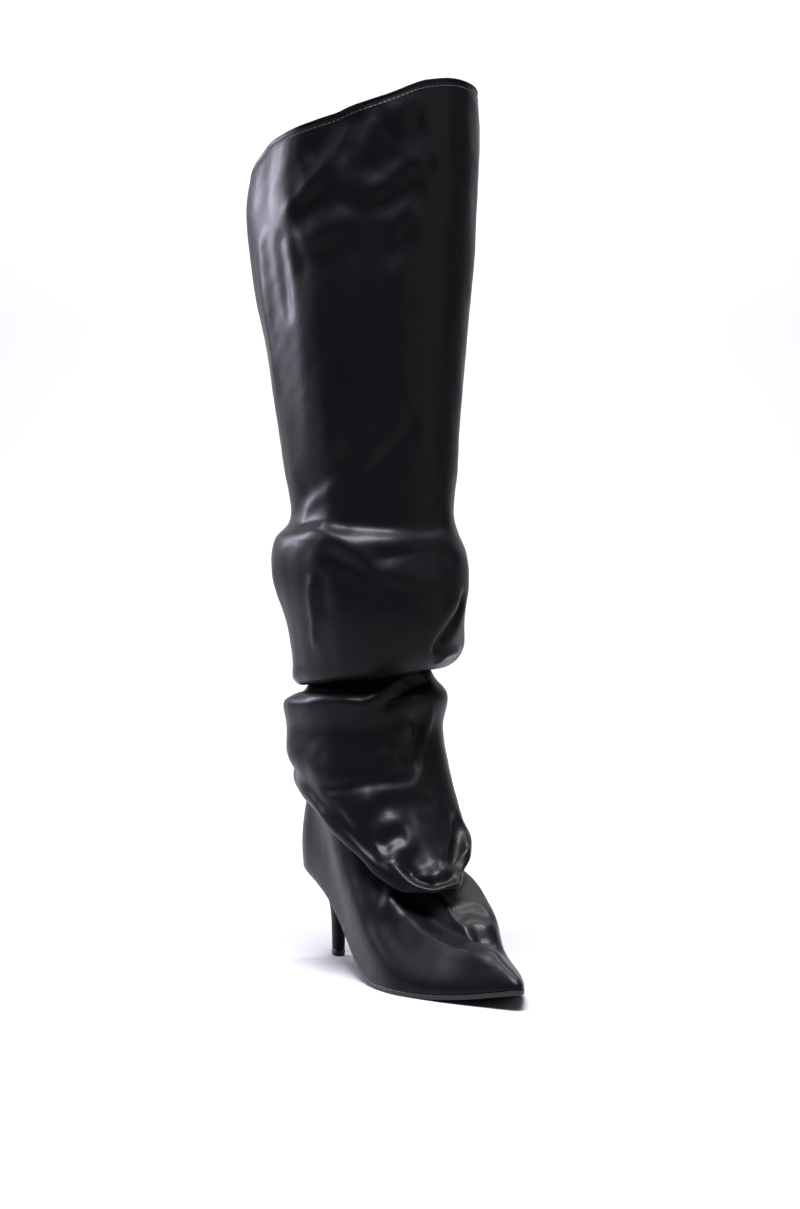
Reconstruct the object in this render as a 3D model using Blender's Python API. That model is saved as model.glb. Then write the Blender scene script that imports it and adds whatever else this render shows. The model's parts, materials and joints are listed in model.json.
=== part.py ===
"""A slouch boot for the right foot, with a pointed toe and a slim heel.

Run with: blender --background --python part.py
Metres, +Z up, the toe points along -Y and the outer side of the foot is -X.
The origin is the middle of the heel tip's face on the floor.

Angles round the boot start at the back and go by way of the outer side, so 90
is the outer side, 180 the front and 270 the inner side. A station is a
distance from the back of the heel towards the toe.
"""

import math

import bmesh
import bpy
import numpy as np

# The foot, as the last gives it
LENGTH = 0.245          # back of the heel to the point of the toe, along the floor
BALL_WIDTH = 0.077      # across the joints, at the edge of the sole
HEEL_HEIGHT = 0.060     # floor to the underside of the sole at the back
HEEL_SET = 0.022        # back of the heel to the middle of the heel tip
TOE_SPRING = 0.009      # lift of the sole under the point of the toe
TOE_DEPTH = 0.014       # height of the upper just behind the point
ANKLE_HEIGHT = 0.150    # floor to the ring where the foot ends
ANKLE_TILT = 0.020      # how much that ring rises at the back and drops in front
ANKLE_STATION = 0.060
ANKLE_WIDTH = 0.064
ANKLE_DEPTH = 0.100

# The shaft and its slack
BOOT_HEIGHT = 0.545     # floor to the highest point of the collar
COLLAR_DROP = 0.051     # how far the slack collar sags below that
FOLD_SIDE = 235         # angle of the folds' high side
SHAFT_WIDTH = 0.136     # across the collar
SHAFT_DEPTH = 0.160     # front to back at the collar
SLOUCH_WIDTH = 0.098    # across the gathered part
SLOUCH_DEPTH = 0.118    # front to back of the gathered part
FOLD_DEPTH = 0.012      # how far a fold stands out from what is behind it
FOLD_TUCK = 0.009       # how far the leather goes up behind the edge of a fold

# Thicknesses and clearances
WALL = 0.0020
SOLE_THICKNESS = 0.0030
SHANK_THICKNESS = 0.0022
INSOLE_THICKNESS = 0.0020
LASTING_MARGIN = 0.009  # width of the upper turned in over the sole
SEAM_GAP = 0.0003       # between pieces that meet
INSOLE_EASE = 0.0016    # between the insole's edge and the upper's wall

# The heel
SEAT_LENGTH = 0.052     # back of the heel to its breast, at the seat
TIP_WIDTH = 0.0074
TIP_LENGTH = 0.0088
TIP_THICKNESS = 0.0042
TIP_PROUD = 0.0002      # how far it stands out round the heel's foot

# From and to, shares of LENGTH: the middle line that edges are drawn in to,
# where the shank's thickness grows to the sole's, and where the insole narrows
# for the toe
SPINE = (0.09, 0.88)
WAIST = (0.30, 0.55)
INSOLE_TOE = (0.80, 1.00)

# How full the rounded sections are: 2 is an ellipse, and more is squarer
FULLNESS = {"shaft": 2.3, "tip": 2.5}

# Fineness of the faceted surfaces
ROUND_STEPS = 36
FOOT_STEPS = 8
BOARD_COLUMNS = 6
HEEL_COLUMNS = 24
HEEL_STEPS = 10
# Rings between one guide ring of the upper and the next, from the collar down
STEPS_BETWEEN = (2, 3, 3, 3, 2, 3, 2, 2, 2, 2, 2, 2, 2, 2, 2, 2, 3, 3, 2, 2, 2, 1, 1, 1)

# The edge of the sole from above. Station: share of LENGTH. Outer and inner:
# shares of BALL_WIDTH from the middle line.
OUTLINE = (
    # station, outer, inner
    (0.000, 0.000, 0.000),
    (0.012, 0.145, 0.145),
    (0.045, 0.255, 0.252),
    (0.100, 0.325, 0.320),
    (0.180, 0.350, 0.340),
    (0.300, 0.378, 0.310),
    (0.400, 0.415, 0.290),
    (0.500, 0.455, 0.335),
    (0.600, 0.495, 0.440),
    (0.670, 0.490, 0.495),
    (0.740, 0.430, 0.475),
    (0.810, 0.345, 0.388),
    (0.870, 0.255, 0.290),
    (0.930, 0.155, 0.172),
    (0.975, 0.076, 0.078),
    (0.993, 0.038, 0.038),
    (1.000, 0.000, 0.000),
)

# The underside of the sole from the side. Heel and toe: shares of HEEL_HEIGHT
# and TOE_SPRING.
PROFILE = (
    # station, heel, toe
    (0.000, 1.000, 0.00),
    (0.080, 0.965, 0.00),
    (0.160, 0.880, 0.00),
    (0.245, 0.735, 0.00),
    (0.325, 0.540, 0.00),
    (0.390, 0.345, 0.00),
    (0.445, 0.180, 0.00),
    (0.490, 0.075, 0.00),
    (0.530, 0.020, 0.00),
    (0.570, 0.000, 0.00),
    (0.730, 0.000, 0.00),
    (0.810, 0.000, 0.14),
    (0.880, 0.000, 0.38),
    (0.940, 0.000, 0.68),
    (1.000, 0.000, 1.00),
)

# How the foot rises from the sole to the ankle. Rise and fall: how upright it
# leaves the sole and how upright it meets the ankle, as shares of the height
# between them. Toe: how far TOE_DEPTH takes the place of the rise. Swell:
# share of WALL that it stands out past the sole. Ahead: share of ANKLE_DEPTH.
LAST = (
    # angle, toe, rise, swell, ahead, fall
    (0, 0.0, 0.30, 2.4, 0.00, 0.45),
    (25, 0.0, 0.30, 2.0, 0.02, 0.45),
    (50, 0.0, 0.30, 1.2, 0.05, 0.48),
    (80, 0.0, 0.27, 1.2, 0.09, 0.55),
    (110, 0.0, 0.21, 1.4, 0.10, 0.66),
    (140, 0.2, 0.16, 0.8, 0.08, 0.78),
    (165, 0.8, 0.20, 0.6, 0.06, 0.84),
    (180, 1.0, 0.20, 0.4, 0.05, 0.86),
)

# The collar's line. Drop: share of COLLAR_DROP.
COLLAR = (
    # angle, drop
    (0, 1.00),
    (60, 0.97),
    (75, 0.83),
    (90, 0.70),
    (124, 0.56),
    (158, 0.31),
    (184, 0.07),
    (205, 0.00),
    (225, 0.00),
    (255, 0.12),
    (300, 0.60),
    (335, 0.93),
    (360, 1.00),
)

# The shaft from the collar down to the first fold. Level: share of
# BOOT_HEIGHT. Drop: how much of the collar's sag the ring takes up. Width,
# depth: shares of SHAFT_WIDTH and SHAFT_DEPTH. Station: share of LENGTH.
SHAFT = (
    # level, drop, width, depth, station
    (1.000, 1.00, 0.98, 0.98, 0.230),
    (0.945, 0.80, 1.00, 1.00, 0.222),
    (0.850, 0.50, 0.96, 0.96, 0.230),
    (0.700, 0.15, 0.84, 0.84, 0.252),
    (0.572, 0.00, 0.74, 0.74, 0.268),
    (0.513, 0.00, 0.70, 0.70, 0.275),
)

# The gathered part, from the first fold down to the one over the foot. Level:
# share of BOOT_HEIGHT. Up: share of FOLD_TUCK above it. Slope: share of
# FOLD_TUCK that the ring rises towards FOLD_SIDE. Width, depth: shares of
# SLOUCH_WIDTH and SLOUCH_DEPTH. Out: share of FOLD_DEPTH. Station: share of
# LENGTH.
GATHERS = (
    # level, up, slope, width, depth, out, station
    (0.481, 0.0, -0.60, 0.97, 0.97, 0.69, 0.268),
    (0.447, 0.0, -0.30, 0.97, 0.97, 0.80, 0.268),
    (0.399, 0.0, 0.30, 0.96, 0.96, 0.34, 0.298),
    (0.358, 0.0, 0.50, 0.94, 0.94, 0.08, 0.292),
    (0.339, 0.0, 0.60, 0.92, 0.92, -0.04, 0.272),
    (0.330, 0.2, 0.60, 0.92, 0.92, -0.42, 0.271),
    (0.336, 0.6, 0.60, 0.92, 0.92, -0.80, 0.270),
    (0.338, 0.6, 0.60, 0.92, 0.92, -1.12, 0.268),
    (0.324, 0.0, 0.50, 0.94, 0.94, -0.75, 0.262),
    (0.308, 0.0, 0.30, 0.96, 0.96, 0.02, 0.240),
    (0.274, 0.0, 0.00, 0.93, 0.93, 0.00, 0.236),
)

# The edge of the lowest fold, that lies over the foot. Level: share of
# ANKLE_HEIGHT. Reach: share of FOLD_DEPTH from the foot.
DRAPE = (
    # angle, level, reach
    (0, 0.73, 0.8),
    (64, 0.70, 0.9),
    (90, 0.66, 1.0),
    (122, 0.50, 1.0),
    (140, 0.39, 1.0),
    (156, 0.335, 1.0),
    (178, 0.335, 1.0),
    (196, 0.37, 1.0),
    (225, 0.44, 1.4),
    (260, 0.57, 1.3),
    (310, 0.69, 0.9),
    (360, 0.73, 0.8),
)

# The lowest fold above its edge. Rise: how far up from the edge to the gathers.
# Width, depth, out and station: as the gathers have them.
DRAPE_BODY = (
    # rise, width, depth, out, station
    (0.60, 0.93, 0.96, 0.125, 0.262),
)

# How the lowest fold turns under at its edge. Up: height over the edge, share
# of FOLD_TUCK. Out: share of the fold's reach. The last row, at no reach, is
# where the foot's own rings start.
DRAPE_TURN = (
    # up, out
    (1.80, 1.02),
    (0.70, 1.06),
    (0.00, 0.72),
    (0.45, 0.42),
    (1.00, 0.33),
    (1.25, 0.17),
    (1.00, 0.03),
    (0.75, 0.00),
)

# Bulges of the gathers where the slack hangs over. Ring: which row of GATHERS,
# from 0. Round and along: how wide they are. Out: share of FOLD_DEPTH.
BULGES = (
    # angle, ring, round, along, out
    (240, 3.4, 15, 0.80, 0.45),
)

# Swellings of the foot's leather. Share: how far up from the sole. Round and
# along: how wide they are. Out: share of FOLD_DEPTH.
SWELLINGS = (
    # angle, share, round, along, out
    (207, 0.46, 22, 0.12, 0.90),
    (224, 0.59, 22, 0.10, 0.85),
)

# The heel from its tip to the seat. Height: share of the way up. Seat: how
# far its section has grown from the tip's to the seat's.
HEEL = (
    # height, seat
    (0.00, 0.000),
    (0.22, 0.012),
    (0.42, 0.045),
    (0.56, 0.105),
    (0.68, 0.220),
    (0.79, 0.420),
    (0.89, 0.700),
    (1.00, 1.000),
)


def column(table, index):
    return np.array([row[index] for row in table], float)


def through(table, index, at):
    """The column at `index` of a table, read between its rows along a smooth
    curve that never goes past them."""
    x, y = column(table, 0), column(table, index)
    at = np.asarray(at, float)
    step, rise = np.diff(x), np.diff(y)
    slope = rise / step
    turn = slope[:-1] * slope[1:] > 0
    both = np.where(turn, slope[:-1] + slope[1:], 1.0)
    inner = np.where(turn, 2.0 * slope[:-1] * slope[1:] / both, 0.0)
    tangent = np.concatenate([slope[:1], inner, slope[-1:]])
    k = np.clip(np.searchsorted(x, at, side="right") - 1, 0, len(step) - 1)
    t = (at - x[k]) / step[k]
    return (
        y[k] * (1 + 2 * t) * (1 - t) ** 2
        + step[k] * tangent[k] * t * (1 - t) ** 2
        + y[k + 1] * t**2 * (3 - 2 * t)
        + step[k] * tangent[k + 1] * t**2 * (t - 1)
    )


def mirrored(table):
    """A table that runs from the back to the front, carried on round the inner side."""
    return table + tuple((360 - row[0], *row[1:]) for row in reversed(table[:-1]))


def along(points, closed, shares):
    """Points at the given shares of the length of a smooth curve through `points`."""
    count = len(points)
    if closed:
        padded = np.vstack([points[-1:], points, points[:2]])
        spans = count
    else:
        ends = 2 * points[[0, -1]] - points[[1, -2]]
        padded = np.vstack([ends[:1], points, ends[1:]])
        spans = count - 1
    chord = np.linalg.norm(np.diff(padded, axis=0), axis=1) ** 0.5
    t = np.linspace(0, 1, 24, endpoint=False)[:, None]
    pieces = [spline(padded[k : k + 4], chord[k : k + 3], t) for k in range(spans)]
    dense = np.vstack([*pieces, padded[spans + 1 : spans + 2]])
    run = np.concatenate([[0], np.cumsum(np.linalg.norm(np.diff(dense, axis=0), axis=1))])
    at = np.asarray(shares, float) * run[-1]
    return np.stack([np.interp(at, run, axis) for axis in dense.T], axis=-1)


def spline(four, chord, t):
    """The middle span of a smooth curve through four points, spaced by `chord`."""
    a, b, c, d = four
    first = (b - a) / chord[0] - (c - a) / (chord[0] + chord[1]) + (c - b) / chord[1]
    last = (c - b) / chord[1] - (d - b) / (chord[1] + chord[2]) + (d - c) / chord[2]
    first, last = first * chord[1], last * chord[1]
    return (
        b * (1 + 2 * t) * (1 - t) ** 2
        + first * t * (1 - t) ** 2
        + c * t**2 * (3 - 2 * t)
        + last * t**2 * (t - 1)
    )


def place(across, station, height):
    """Points from distances to the inner side, stations and heights."""
    across, station, height = np.broadcast_arrays(across, station, height)
    return np.stack([across, HEEL_SET - station, height], axis=-1)


def angles():
    return np.linspace(0, 360, ROUND_STEPS, endpoint=False)


def round_wave(angle, side):
    """1 on one side of the boot and -1 on the other."""
    return np.cos(np.radians(angle - side))


def rounded(across, back, section):
    """How far out a rounded section reaches in a direction."""
    power = FULLNESS[section]
    return (np.abs(across) ** power + np.abs(back) ** power) ** (-1 / power)


def ring(width, depth, station, height):
    """A ring of the shaft, a little fuller than an ellipse."""
    turn = np.radians(angles())
    across, back = np.sin(turn), np.cos(turn)
    full = rounded(across, back, "shaft")
    return place(-width / 2 * across * full, station - depth / 2 * back * full, height)


def fine_edge():
    """The sole's two edges from above, back to toe: outer and inner."""
    station = column(OUTLINE, 0) * LENGTH
    outer = np.stack([-column(OUTLINE, 1) * BALL_WIDTH, station], axis=-1)
    inner = np.stack([column(OUTLINE, 2) * BALL_WIDTH, station], axis=-1)
    loop = along(np.vstack([outer, inner[-2:0:-1]]), True, np.linspace(0, 1, 721))
    toe = int(np.argmax(loop[:, 1]))
    return loop[: toe + 1], loop[toe:][::-1]


def edge_stations():
    """Stations of the edge's points, the same on both sides and evenly spaced
    along it."""
    even = np.linspace(0, 1, ROUND_STEPS // 2 + 1)
    sides = [by_length(line, even)[:, 1] for line in fine_edge()]
    return np.concatenate([[0], np.mean(sides, axis=0)[1:-1], [LENGTH]])


def edge_across(stations):
    """Where the two edges lie at some stations."""
    return [np.interp(stations, line[:, 1], line[:, 0]) for line in fine_edge()]


def both_sides(outer, inner, stations):
    """A closed line from above, one point for each angle."""
    left = np.stack([outer, stations], axis=-1)
    right = np.stack([inner, stations], axis=-1)
    return np.vstack([left, right[-2:0:-1]])


def sole_edge():
    stations = edge_stations()
    outer, inner = edge_across(stations)
    outer[[0, -1]] = inner[[0, -1]] = 0
    return both_sides(outer, inner, stations)


def by_length(line, shares):
    run = np.concatenate([[0], np.cumsum(np.linalg.norm(np.diff(line, axis=0), axis=1))])
    return np.stack([np.interp(shares * run[-1], run, axis) for axis in line.T], axis=-1)


def drawn_in(edge, distance):
    """A line from above, moved in towards the middle line of the foot. The
    distance may be one number or one for each point."""
    spine = np.stack(
        [edge[:, 0] * 0, np.clip(edge[:, 1], SPINE[0] * LENGTH, SPINE[1] * LENGTH)], axis=-1
    )
    way = spine - edge
    return edge + way * (distance / np.linalg.norm(way, axis=1))[:, None]


def faceted(heights, stations):
    """Heights read along straight facets from one point of the edge to the next,
    so that all the pieces at the sole fit each other."""
    knots = edge_stations()
    return np.interp(stations, knots, heights(knots))


def sole_under(stations):
    def smooth(station):
        share = station / LENGTH
        return HEEL_HEIGHT * through(PROFILE, 1, share) + TOE_SPRING * through(
            PROFILE, 2, share
        )

    return faceted(smooth, stations)


def sole_top(stations):
    front = np.clip((stations / LENGTH - WAIST[0]) / (WAIST[1] - WAIST[0]), 0, 1)
    thickness = SHANK_THICKNESS + (SOLE_THICKNESS - SHANK_THICKNESS) * front
    return sole_under(stations) + thickness


def foot(shares):
    """Rings of the foot, from the sole at share 0 to the ankle at 1. A share may
    be one number or one for each angle."""
    angle = angles()
    last = mirrored(LAST)
    toe, rise, swell, ahead, fall = (through(last, k, angle) for k in range(1, 6))
    edge = sole_edge()
    out = edge - drawn_in(edge, 1.0)
    start = place(edge[:, 0], edge[:, 1], sole_top(edge[:, 1]) + SEAM_GAP)
    turn = np.radians(angle)
    end = place(
        -ANKLE_WIDTH / 2 * np.sin(turn),
        ANKLE_STATION - ANKLE_DEPTH / 2 * np.cos(turn),
        ANKLE_HEIGHT + ANKLE_TILT * np.cos(turn),
    )
    height = end[:, 2] - start[:, 2]
    upright = toe * TOE_DEPTH * 4 / 3 + (1 - toe) * rise * height
    lower = start + place(
        out[:, 0] * swell * WALL, HEEL_SET + out[:, 1] * swell * WALL, upright
    )
    upper = end + place(0 * height, HEEL_SET + ahead * ANKLE_DEPTH, -fall * height)
    t = np.asarray(shares, float)[..., None]
    return (
        start * (1 - t) ** 3
        + lower * 3 * t * (1 - t) ** 2
        + upper * 3 * t**2 * (1 - t)
        + end * t**3
    )


def outward(rings):
    """Which way the outer face of a stack of rings looks, at each point."""
    along_rings = np.gradient(rings, axis=0)
    round_rings = np.roll(rings, -1, axis=1) - np.roll(rings, 1, axis=1)
    way = np.cross(along_rings, round_rings)
    return way / np.linalg.norm(way, axis=2)[..., None]


def swollen_foot(shares):
    """The foot with the swellings of its leather."""
    shares = np.broadcast_to(shares, (ROUND_STEPS,))
    step = 0.01
    rings = np.stack([foot(shares + k * step) for k in (-1, 0, 1)])
    way = -outward(rings)[1]
    out = np.zeros(ROUND_STEPS)
    for angle, share, wide, tall, height in SWELLINGS:
        near = ((angles() - angle) / wide) ** 2 + ((shares - share) / tall) ** 2
        out += height * FOLD_DEPTH * np.exp(-near)
    return rings[1] + way * out[:, None], way


def share_at(height):
    """How far up the foot each angle reaches a height above the floor."""
    shares = np.linspace(0, 1, 101)
    levels = np.stack([foot(share)[:, 2] for share in shares])
    return np.array(
        [np.interp(height[k], levels[:, k], shares) for k in range(ROUND_STEPS)]
    )


def drape_rings():
    """The lowest fold, from its outer face round its edge and up behind it."""
    edge = through(DRAPE, 1, angles()) * ANKLE_HEIGHT
    reach = through(DRAPE, 2, angles())
    hung_from = GATHERS[-1][0] * BOOT_HEIGHT
    rings = [
        ring(
            width * SLOUCH_WIDTH + 2 * out * FOLD_DEPTH,
            depth * SLOUCH_DEPTH + 2 * out * FOLD_DEPTH,
            station * LENGTH,
            edge + rise * (hung_from - edge),
        )
        for rise, width, depth, out, station in DRAPE_BODY
    ]
    *turn, start = [(share_at(edge + up * FOLD_TUCK), out) for up, out in DRAPE_TURN]
    for shares, out in turn:
        point, way = swollen_foot(shares)
        rings.append(point + way * (reach * out * FOLD_DEPTH)[:, None])
    return rings, start[0]


def bulge(number):
    """How far a ring of the gathers bulges out at each angle."""
    out = np.zeros(ROUND_STEPS)
    for angle, ring_number, wide, tall, height in BULGES:
        off = (angles() - angle + 180) % 360 - 180
        near = (off / wide) ** 2 + ((number - ring_number) / tall) ** 2
        out += height * FOLD_DEPTH * np.exp(-near)
    return out


def upper_rings():
    """Every ring of the upper's outer face, from the collar to the turned-in edge."""
    shaft = [
        ring(
            width * SHAFT_WIDTH,
            depth * SHAFT_DEPTH,
            station * LENGTH,
            level * BOOT_HEIGHT - drop * COLLAR_DROP * through(COLLAR, 1, angles()),
        )
        for level, drop, width, depth, station in SHAFT
    ]
    gathers = [
        ring(
            width * SLOUCH_WIDTH + 2 * (out * FOLD_DEPTH + bulge(number)),
            depth * SLOUCH_DEPTH + 2 * (out * FOLD_DEPTH + bulge(number)),
            station * LENGTH,
            level * BOOT_HEIGHT
            + FOLD_TUCK * (up + slope * round_wave(angles(), FOLD_SIDE)),
        )
        for number, (level, up, slope, width, depth, out, station) in enumerate(GATHERS)
    ]
    drape, top = drape_rings()
    guides = np.stack(shaft + gathers + drape)
    steps = STEPS_BETWEEN[: len(guides) - 1]
    shares = guide_shares(guides, steps)
    skin = np.stack(
        [along(guides[:, k], False, shares[k]) for k in range(ROUND_STEPS)], axis=1
    )
    down = [swollen_foot(top * (1 - t))[0] for t in np.linspace(0, 1, FOOT_STEPS + 1)]
    turned = drawn_in(sole_edge(), LASTING_MARGIN)
    margin = place(turned[:, 0], turned[:, 1], sole_top(turned[:, 1]) + SEAM_GAP)
    return np.concatenate([skin, np.stack(down), margin[None]])


def guide_shares(guides, steps):
    """For each angle, where its rings lie along the curve through the guides."""
    run = np.linalg.norm(np.diff(guides, axis=0), axis=2)
    reached = np.concatenate([np.zeros((1, ROUND_STEPS)), np.cumsum(run, axis=0)])
    reached /= reached[-1]
    at = np.concatenate(
        [np.arange(n) / n + k for k, n in enumerate(steps)] + [[len(steps)]]
    )
    knots = np.arange(len(guides))
    return [np.interp(at, knots, reached[:, k]) for k in range(ROUND_STEPS)]


def material(name, colour, roughness):
    made = bpy.data.materials.new(name)
    made.use_nodes = True
    shader = made.node_tree.nodes["Principled BSDF"]
    shader.inputs["Base Color"].default_value = (*colour, 1)
    shader.inputs["Roughness"].default_value = roughness
    made.diffuse_color = (*colour, 1)
    return made


def add_object(name, mesh, finish):
    bm = bmesh.new()
    bm.from_mesh(mesh)
    bmesh.ops.recalc_face_normals(bm, faces=bm.faces)
    bm.to_mesh(mesh)
    bm.free()
    mesh.shade_smooth()
    mesh.set_sharp_from_angle(angle=math.radians(40))
    mesh.materials.append(finish)
    made = bpy.data.objects.new(name, mesh)
    bpy.context.scene.collection.objects.link(made)
    return made


def tube(name, rings, capped):
    """A mesh through a stack of closed rings: capped at both ends, or joined from
    the last ring to the first."""
    count, around = len(rings), len(rings[0])
    points = np.concatenate(rings)
    faces = []
    for i in range(count - 1 if capped else count):
        here, there = i * around, (i + 1) % count * around
        for k in range(around):
            after = (k + 1) % around
            faces.append((here + k, here + after, there + after, there + k))
    if capped:
        for i, order in ((0, -1), (count - 1, 1)):
            middle = len(points)
            ends = range(i * around, (i + 1) * around)
            points = np.vstack([points, rings[i].mean(axis=0)])
            faces += [
                (ends[k], ends[(k + 1) % around], middle)[::order] for k in range(around)
            ]
    mesh = bpy.data.meshes.new(name)
    mesh.from_pydata(points.tolist(), [], faces)
    return mesh


def lining_rings(rings):
    """The wall's inner face behind each ring."""
    inner = rings - outward(rings) * WALL
    edge = sole_edge()
    for k, distance in ((-2, WALL), (-1, LASTING_MARGIN)):
        line = drawn_in(edge, distance)
        rise = SEAM_GAP + WALL * steepness(line[:, 1])
        inner[k] = place(line[:, 0], line[:, 1], sole_top(line[:, 1]) + rise)
    return inner


def make_upper(finish):
    """One wall: down the outer face, round the turned-in edge, up the inner face
    and back over the collar."""
    rings = upper_rings()
    shell = np.concatenate([rings, lining_rings(rings)[::-1]])
    return add_object("upper", tube("upper", shell, capped=False), finish)


def board(name, stations, outer, inner, under, top, finish):
    """A thin board from side to side at each station, between two heights."""
    rings = []
    for station, left, right in zip(stations, outer, inner):
        across = left + (right - left) * np.linspace(0, 1, BOARD_COLUMNS + 1)
        upper = place(across, station, top(station))
        lower = place(across[::-1], station, under(station))
        rings.append(np.vstack([upper, lower]))
    return add_object(name, tube(name, rings, capped=True), finish)


def make_outsole(finish):
    stations = edge_stations()
    outer, inner = edge_across(stations)
    for end in (0, -1):
        outer[end], inner[end] = -SEAM_GAP, SEAM_GAP
    return board("outsole", stations, outer, inner, sole_under, sole_top, finish)


def steepness(stations):
    """How much taller a layer is than it is thick, where the sole slopes."""
    knots = edge_stations()
    slope = np.abs(np.diff(sole_top(knots)) / np.diff(knots))
    steepest = np.maximum(np.append(slope, 0), np.insert(slope, 0, 0))
    return np.interp(stations, knots, np.hypot(1, steepest))


def make_insole(finish):
    """It lies on the upper's turned-in margin, clear of the upper's wall, which
    leans in over the toe."""
    lines = []
    for line in fine_edge():
        start, end = INSOLE_TOE
        lean = np.clip((line[:, 1] / LENGTH - start) / (end - start), 0, 1)
        lines.append(drawn_in(line, WALL + INSOLE_EASE * (1 + 2 * lean)))
    first = max(line[0, 1] for line in lines)
    last = min(line[-1, 1] for line in lines)
    knots = edge_stations()
    stations = np.concatenate([[first], knots[(knots > first) & (knots < last)], [last]])
    outer, inner = (np.interp(stations, line[:, 1], line[:, 0]) for line in lines)
    for end in (0, -1):
        outer[end], inner[end] = -SEAM_GAP, SEAM_GAP

    def under(station):
        return sole_top(station) + (WALL + 2 * SEAM_GAP) * steepness(station)

    def top(station):
        return under(station) + INSOLE_THICKNESS

    return board("insole", stations, outer, inner, under, top, finish)


def seat_outline():
    """The heel's top from above: the sole's edge round the back, and a straight
    breast."""
    outer, inner = (line[line[:, 1] < SEAT_LENGTH] for line in fine_edge())
    corners = [by_length(line, np.array([1.0])) for line in (outer, inner)]
    breast = corners[0] + (corners[1] - corners[0]) * np.linspace(0, 1, 9)[1:-1, None]
    loop = np.vstack([outer, breast, inner[::-1]])
    return drawn_in(by_length(loop, heel_shares()), SEAM_GAP)


def heel_shares():
    return np.linspace(0, 1, HEEL_COLUMNS, endpoint=False)


def tip_outline(grow):
    """The heel's foot from above: rounded at the back, flatter in front."""
    turn = 2 * math.pi * heel_shares()
    full = rounded(np.sin(turn), np.cos(turn), "tip")
    across = -(TIP_WIDTH / 2 + grow) * np.sin(turn) * full
    lengthwise = -(TIP_LENGTH / 2 + grow) * np.cos(turn) * full
    return np.stack([across, HEEL_SET + lengthwise], axis=-1)


def make_heel(finish):
    """The heel grows from its tip to the seat, and its top follows the sole."""
    seat, tip = seat_outline(), tip_outline(0)
    start = TIP_THICKNESS + SEAM_GAP
    rings = []
    for share in np.linspace(0, 1, HEEL_STEPS + 1):
        grown = float(through(HEEL, 1, share))
        line = tip + (seat - tip) * grown
        rise = (sole_under(line[:, 1]) - SEAM_GAP - start) * share
        rings.append(place(line[:, 0], line[:, 1], start + rise))
    return add_object("heel", tube("heel", rings, capped=True), finish)


def make_top_piece(finish):
    line = tip_outline(TIP_PROUD)
    rings = [place(line[:, 0], line[:, 1], height) for height in (0.0, TIP_THICKNESS)]
    return add_object("top_piece", tube("top_piece", rings, capped=True), finish)


def main():
    for old in list(bpy.data.objects):
        bpy.data.objects.remove(old, do_unlink=True)
    leather = material("Black faux leather", (0.007, 0.007, 0.008), 0.36)
    make_upper(leather)
    make_outsole(material("Black sole rubber", (0.012, 0.012, 0.012), 0.62))
    make_heel(material("Covered heel leather", (0.007, 0.007, 0.008), 0.34))
    make_top_piece(material("Heel tip rubber", (0.01, 0.01, 0.01), 0.55))
    make_insole(material("Insole lining", (0.05, 0.045, 0.042), 0.7))


if __name__ == "__main__":
    main()
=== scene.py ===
"""The looks of a slouch boot for the right foot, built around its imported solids.

Metres, +Z up, the toe points along -Y and the outer side of the foot is -X.
Angles round the boot start at the back and go by way of the outer side, so 90
is the outer side, 180 the front and 270 the inner side. A station is a
distance from the back of the heel towards the toe.
"""

import functools
import json
import math

import bmesh
import bpy
import numpy as np
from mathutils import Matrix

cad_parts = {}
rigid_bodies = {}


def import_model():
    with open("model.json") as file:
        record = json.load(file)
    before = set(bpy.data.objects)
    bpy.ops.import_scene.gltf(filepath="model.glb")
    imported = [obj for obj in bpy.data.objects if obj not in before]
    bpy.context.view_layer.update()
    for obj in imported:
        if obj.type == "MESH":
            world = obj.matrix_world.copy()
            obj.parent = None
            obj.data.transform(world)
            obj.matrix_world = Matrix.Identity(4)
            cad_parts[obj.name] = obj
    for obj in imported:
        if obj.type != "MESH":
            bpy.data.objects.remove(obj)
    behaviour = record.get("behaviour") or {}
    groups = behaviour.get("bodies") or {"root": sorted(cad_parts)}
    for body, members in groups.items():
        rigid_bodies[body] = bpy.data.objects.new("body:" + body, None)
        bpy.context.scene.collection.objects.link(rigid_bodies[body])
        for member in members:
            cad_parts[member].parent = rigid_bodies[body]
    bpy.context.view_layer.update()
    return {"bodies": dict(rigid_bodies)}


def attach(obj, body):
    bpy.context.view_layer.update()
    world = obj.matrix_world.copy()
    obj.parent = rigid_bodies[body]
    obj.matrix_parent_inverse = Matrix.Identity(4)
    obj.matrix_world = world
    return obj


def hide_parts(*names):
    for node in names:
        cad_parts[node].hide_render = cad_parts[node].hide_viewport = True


bl_info = {
    "name": "Slouch boot",
    "version": (1, 0, 0),
    "blender": (4, 5, 0),
    "location": "3D View > Sidebar > Boot",
    "description": "Builds the boot's leather, lining, sole, heel and studio",
    "category": "Add Mesh",
}

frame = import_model()
BODY = next(iter(frame["bodies"]))
MM = 0.001

# --- FORM -------------------------------------------------------------------
# The boot's sizes, as its solids have them

LENGTH = 0.245
BALL_WIDTH = 0.077
HEEL_HEIGHT = 0.060
HEEL_SET = 0.022
TOE_SPRING = 0.009
TOE_DEPTH = 0.014
ANKLE_HEIGHT = 0.150
ANKLE_TILT = 0.020
ANKLE_STATION = 0.060
ANKLE_WIDTH = 0.064
ANKLE_DEPTH = 0.100
BOOT_HEIGHT = 0.545
COLLAR_DROP = 0.051
FOLD_SIDE = 235
SHAFT_WIDTH = 0.136
SHAFT_DEPTH = 0.160
SLOUCH_WIDTH = 0.098
SLOUCH_DEPTH = 0.118
FOLD_DEPTH = 0.012
FOLD_TUCK = 0.009
WALL = 0.0020
SOLE_THICKNESS = 0.0030
SHANK_THICKNESS = 0.0022
INSOLE_THICKNESS = 0.0020
LASTING_MARGIN = 0.009
SEAM_GAP = 0.0003
INSOLE_EASE = 0.0016
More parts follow.
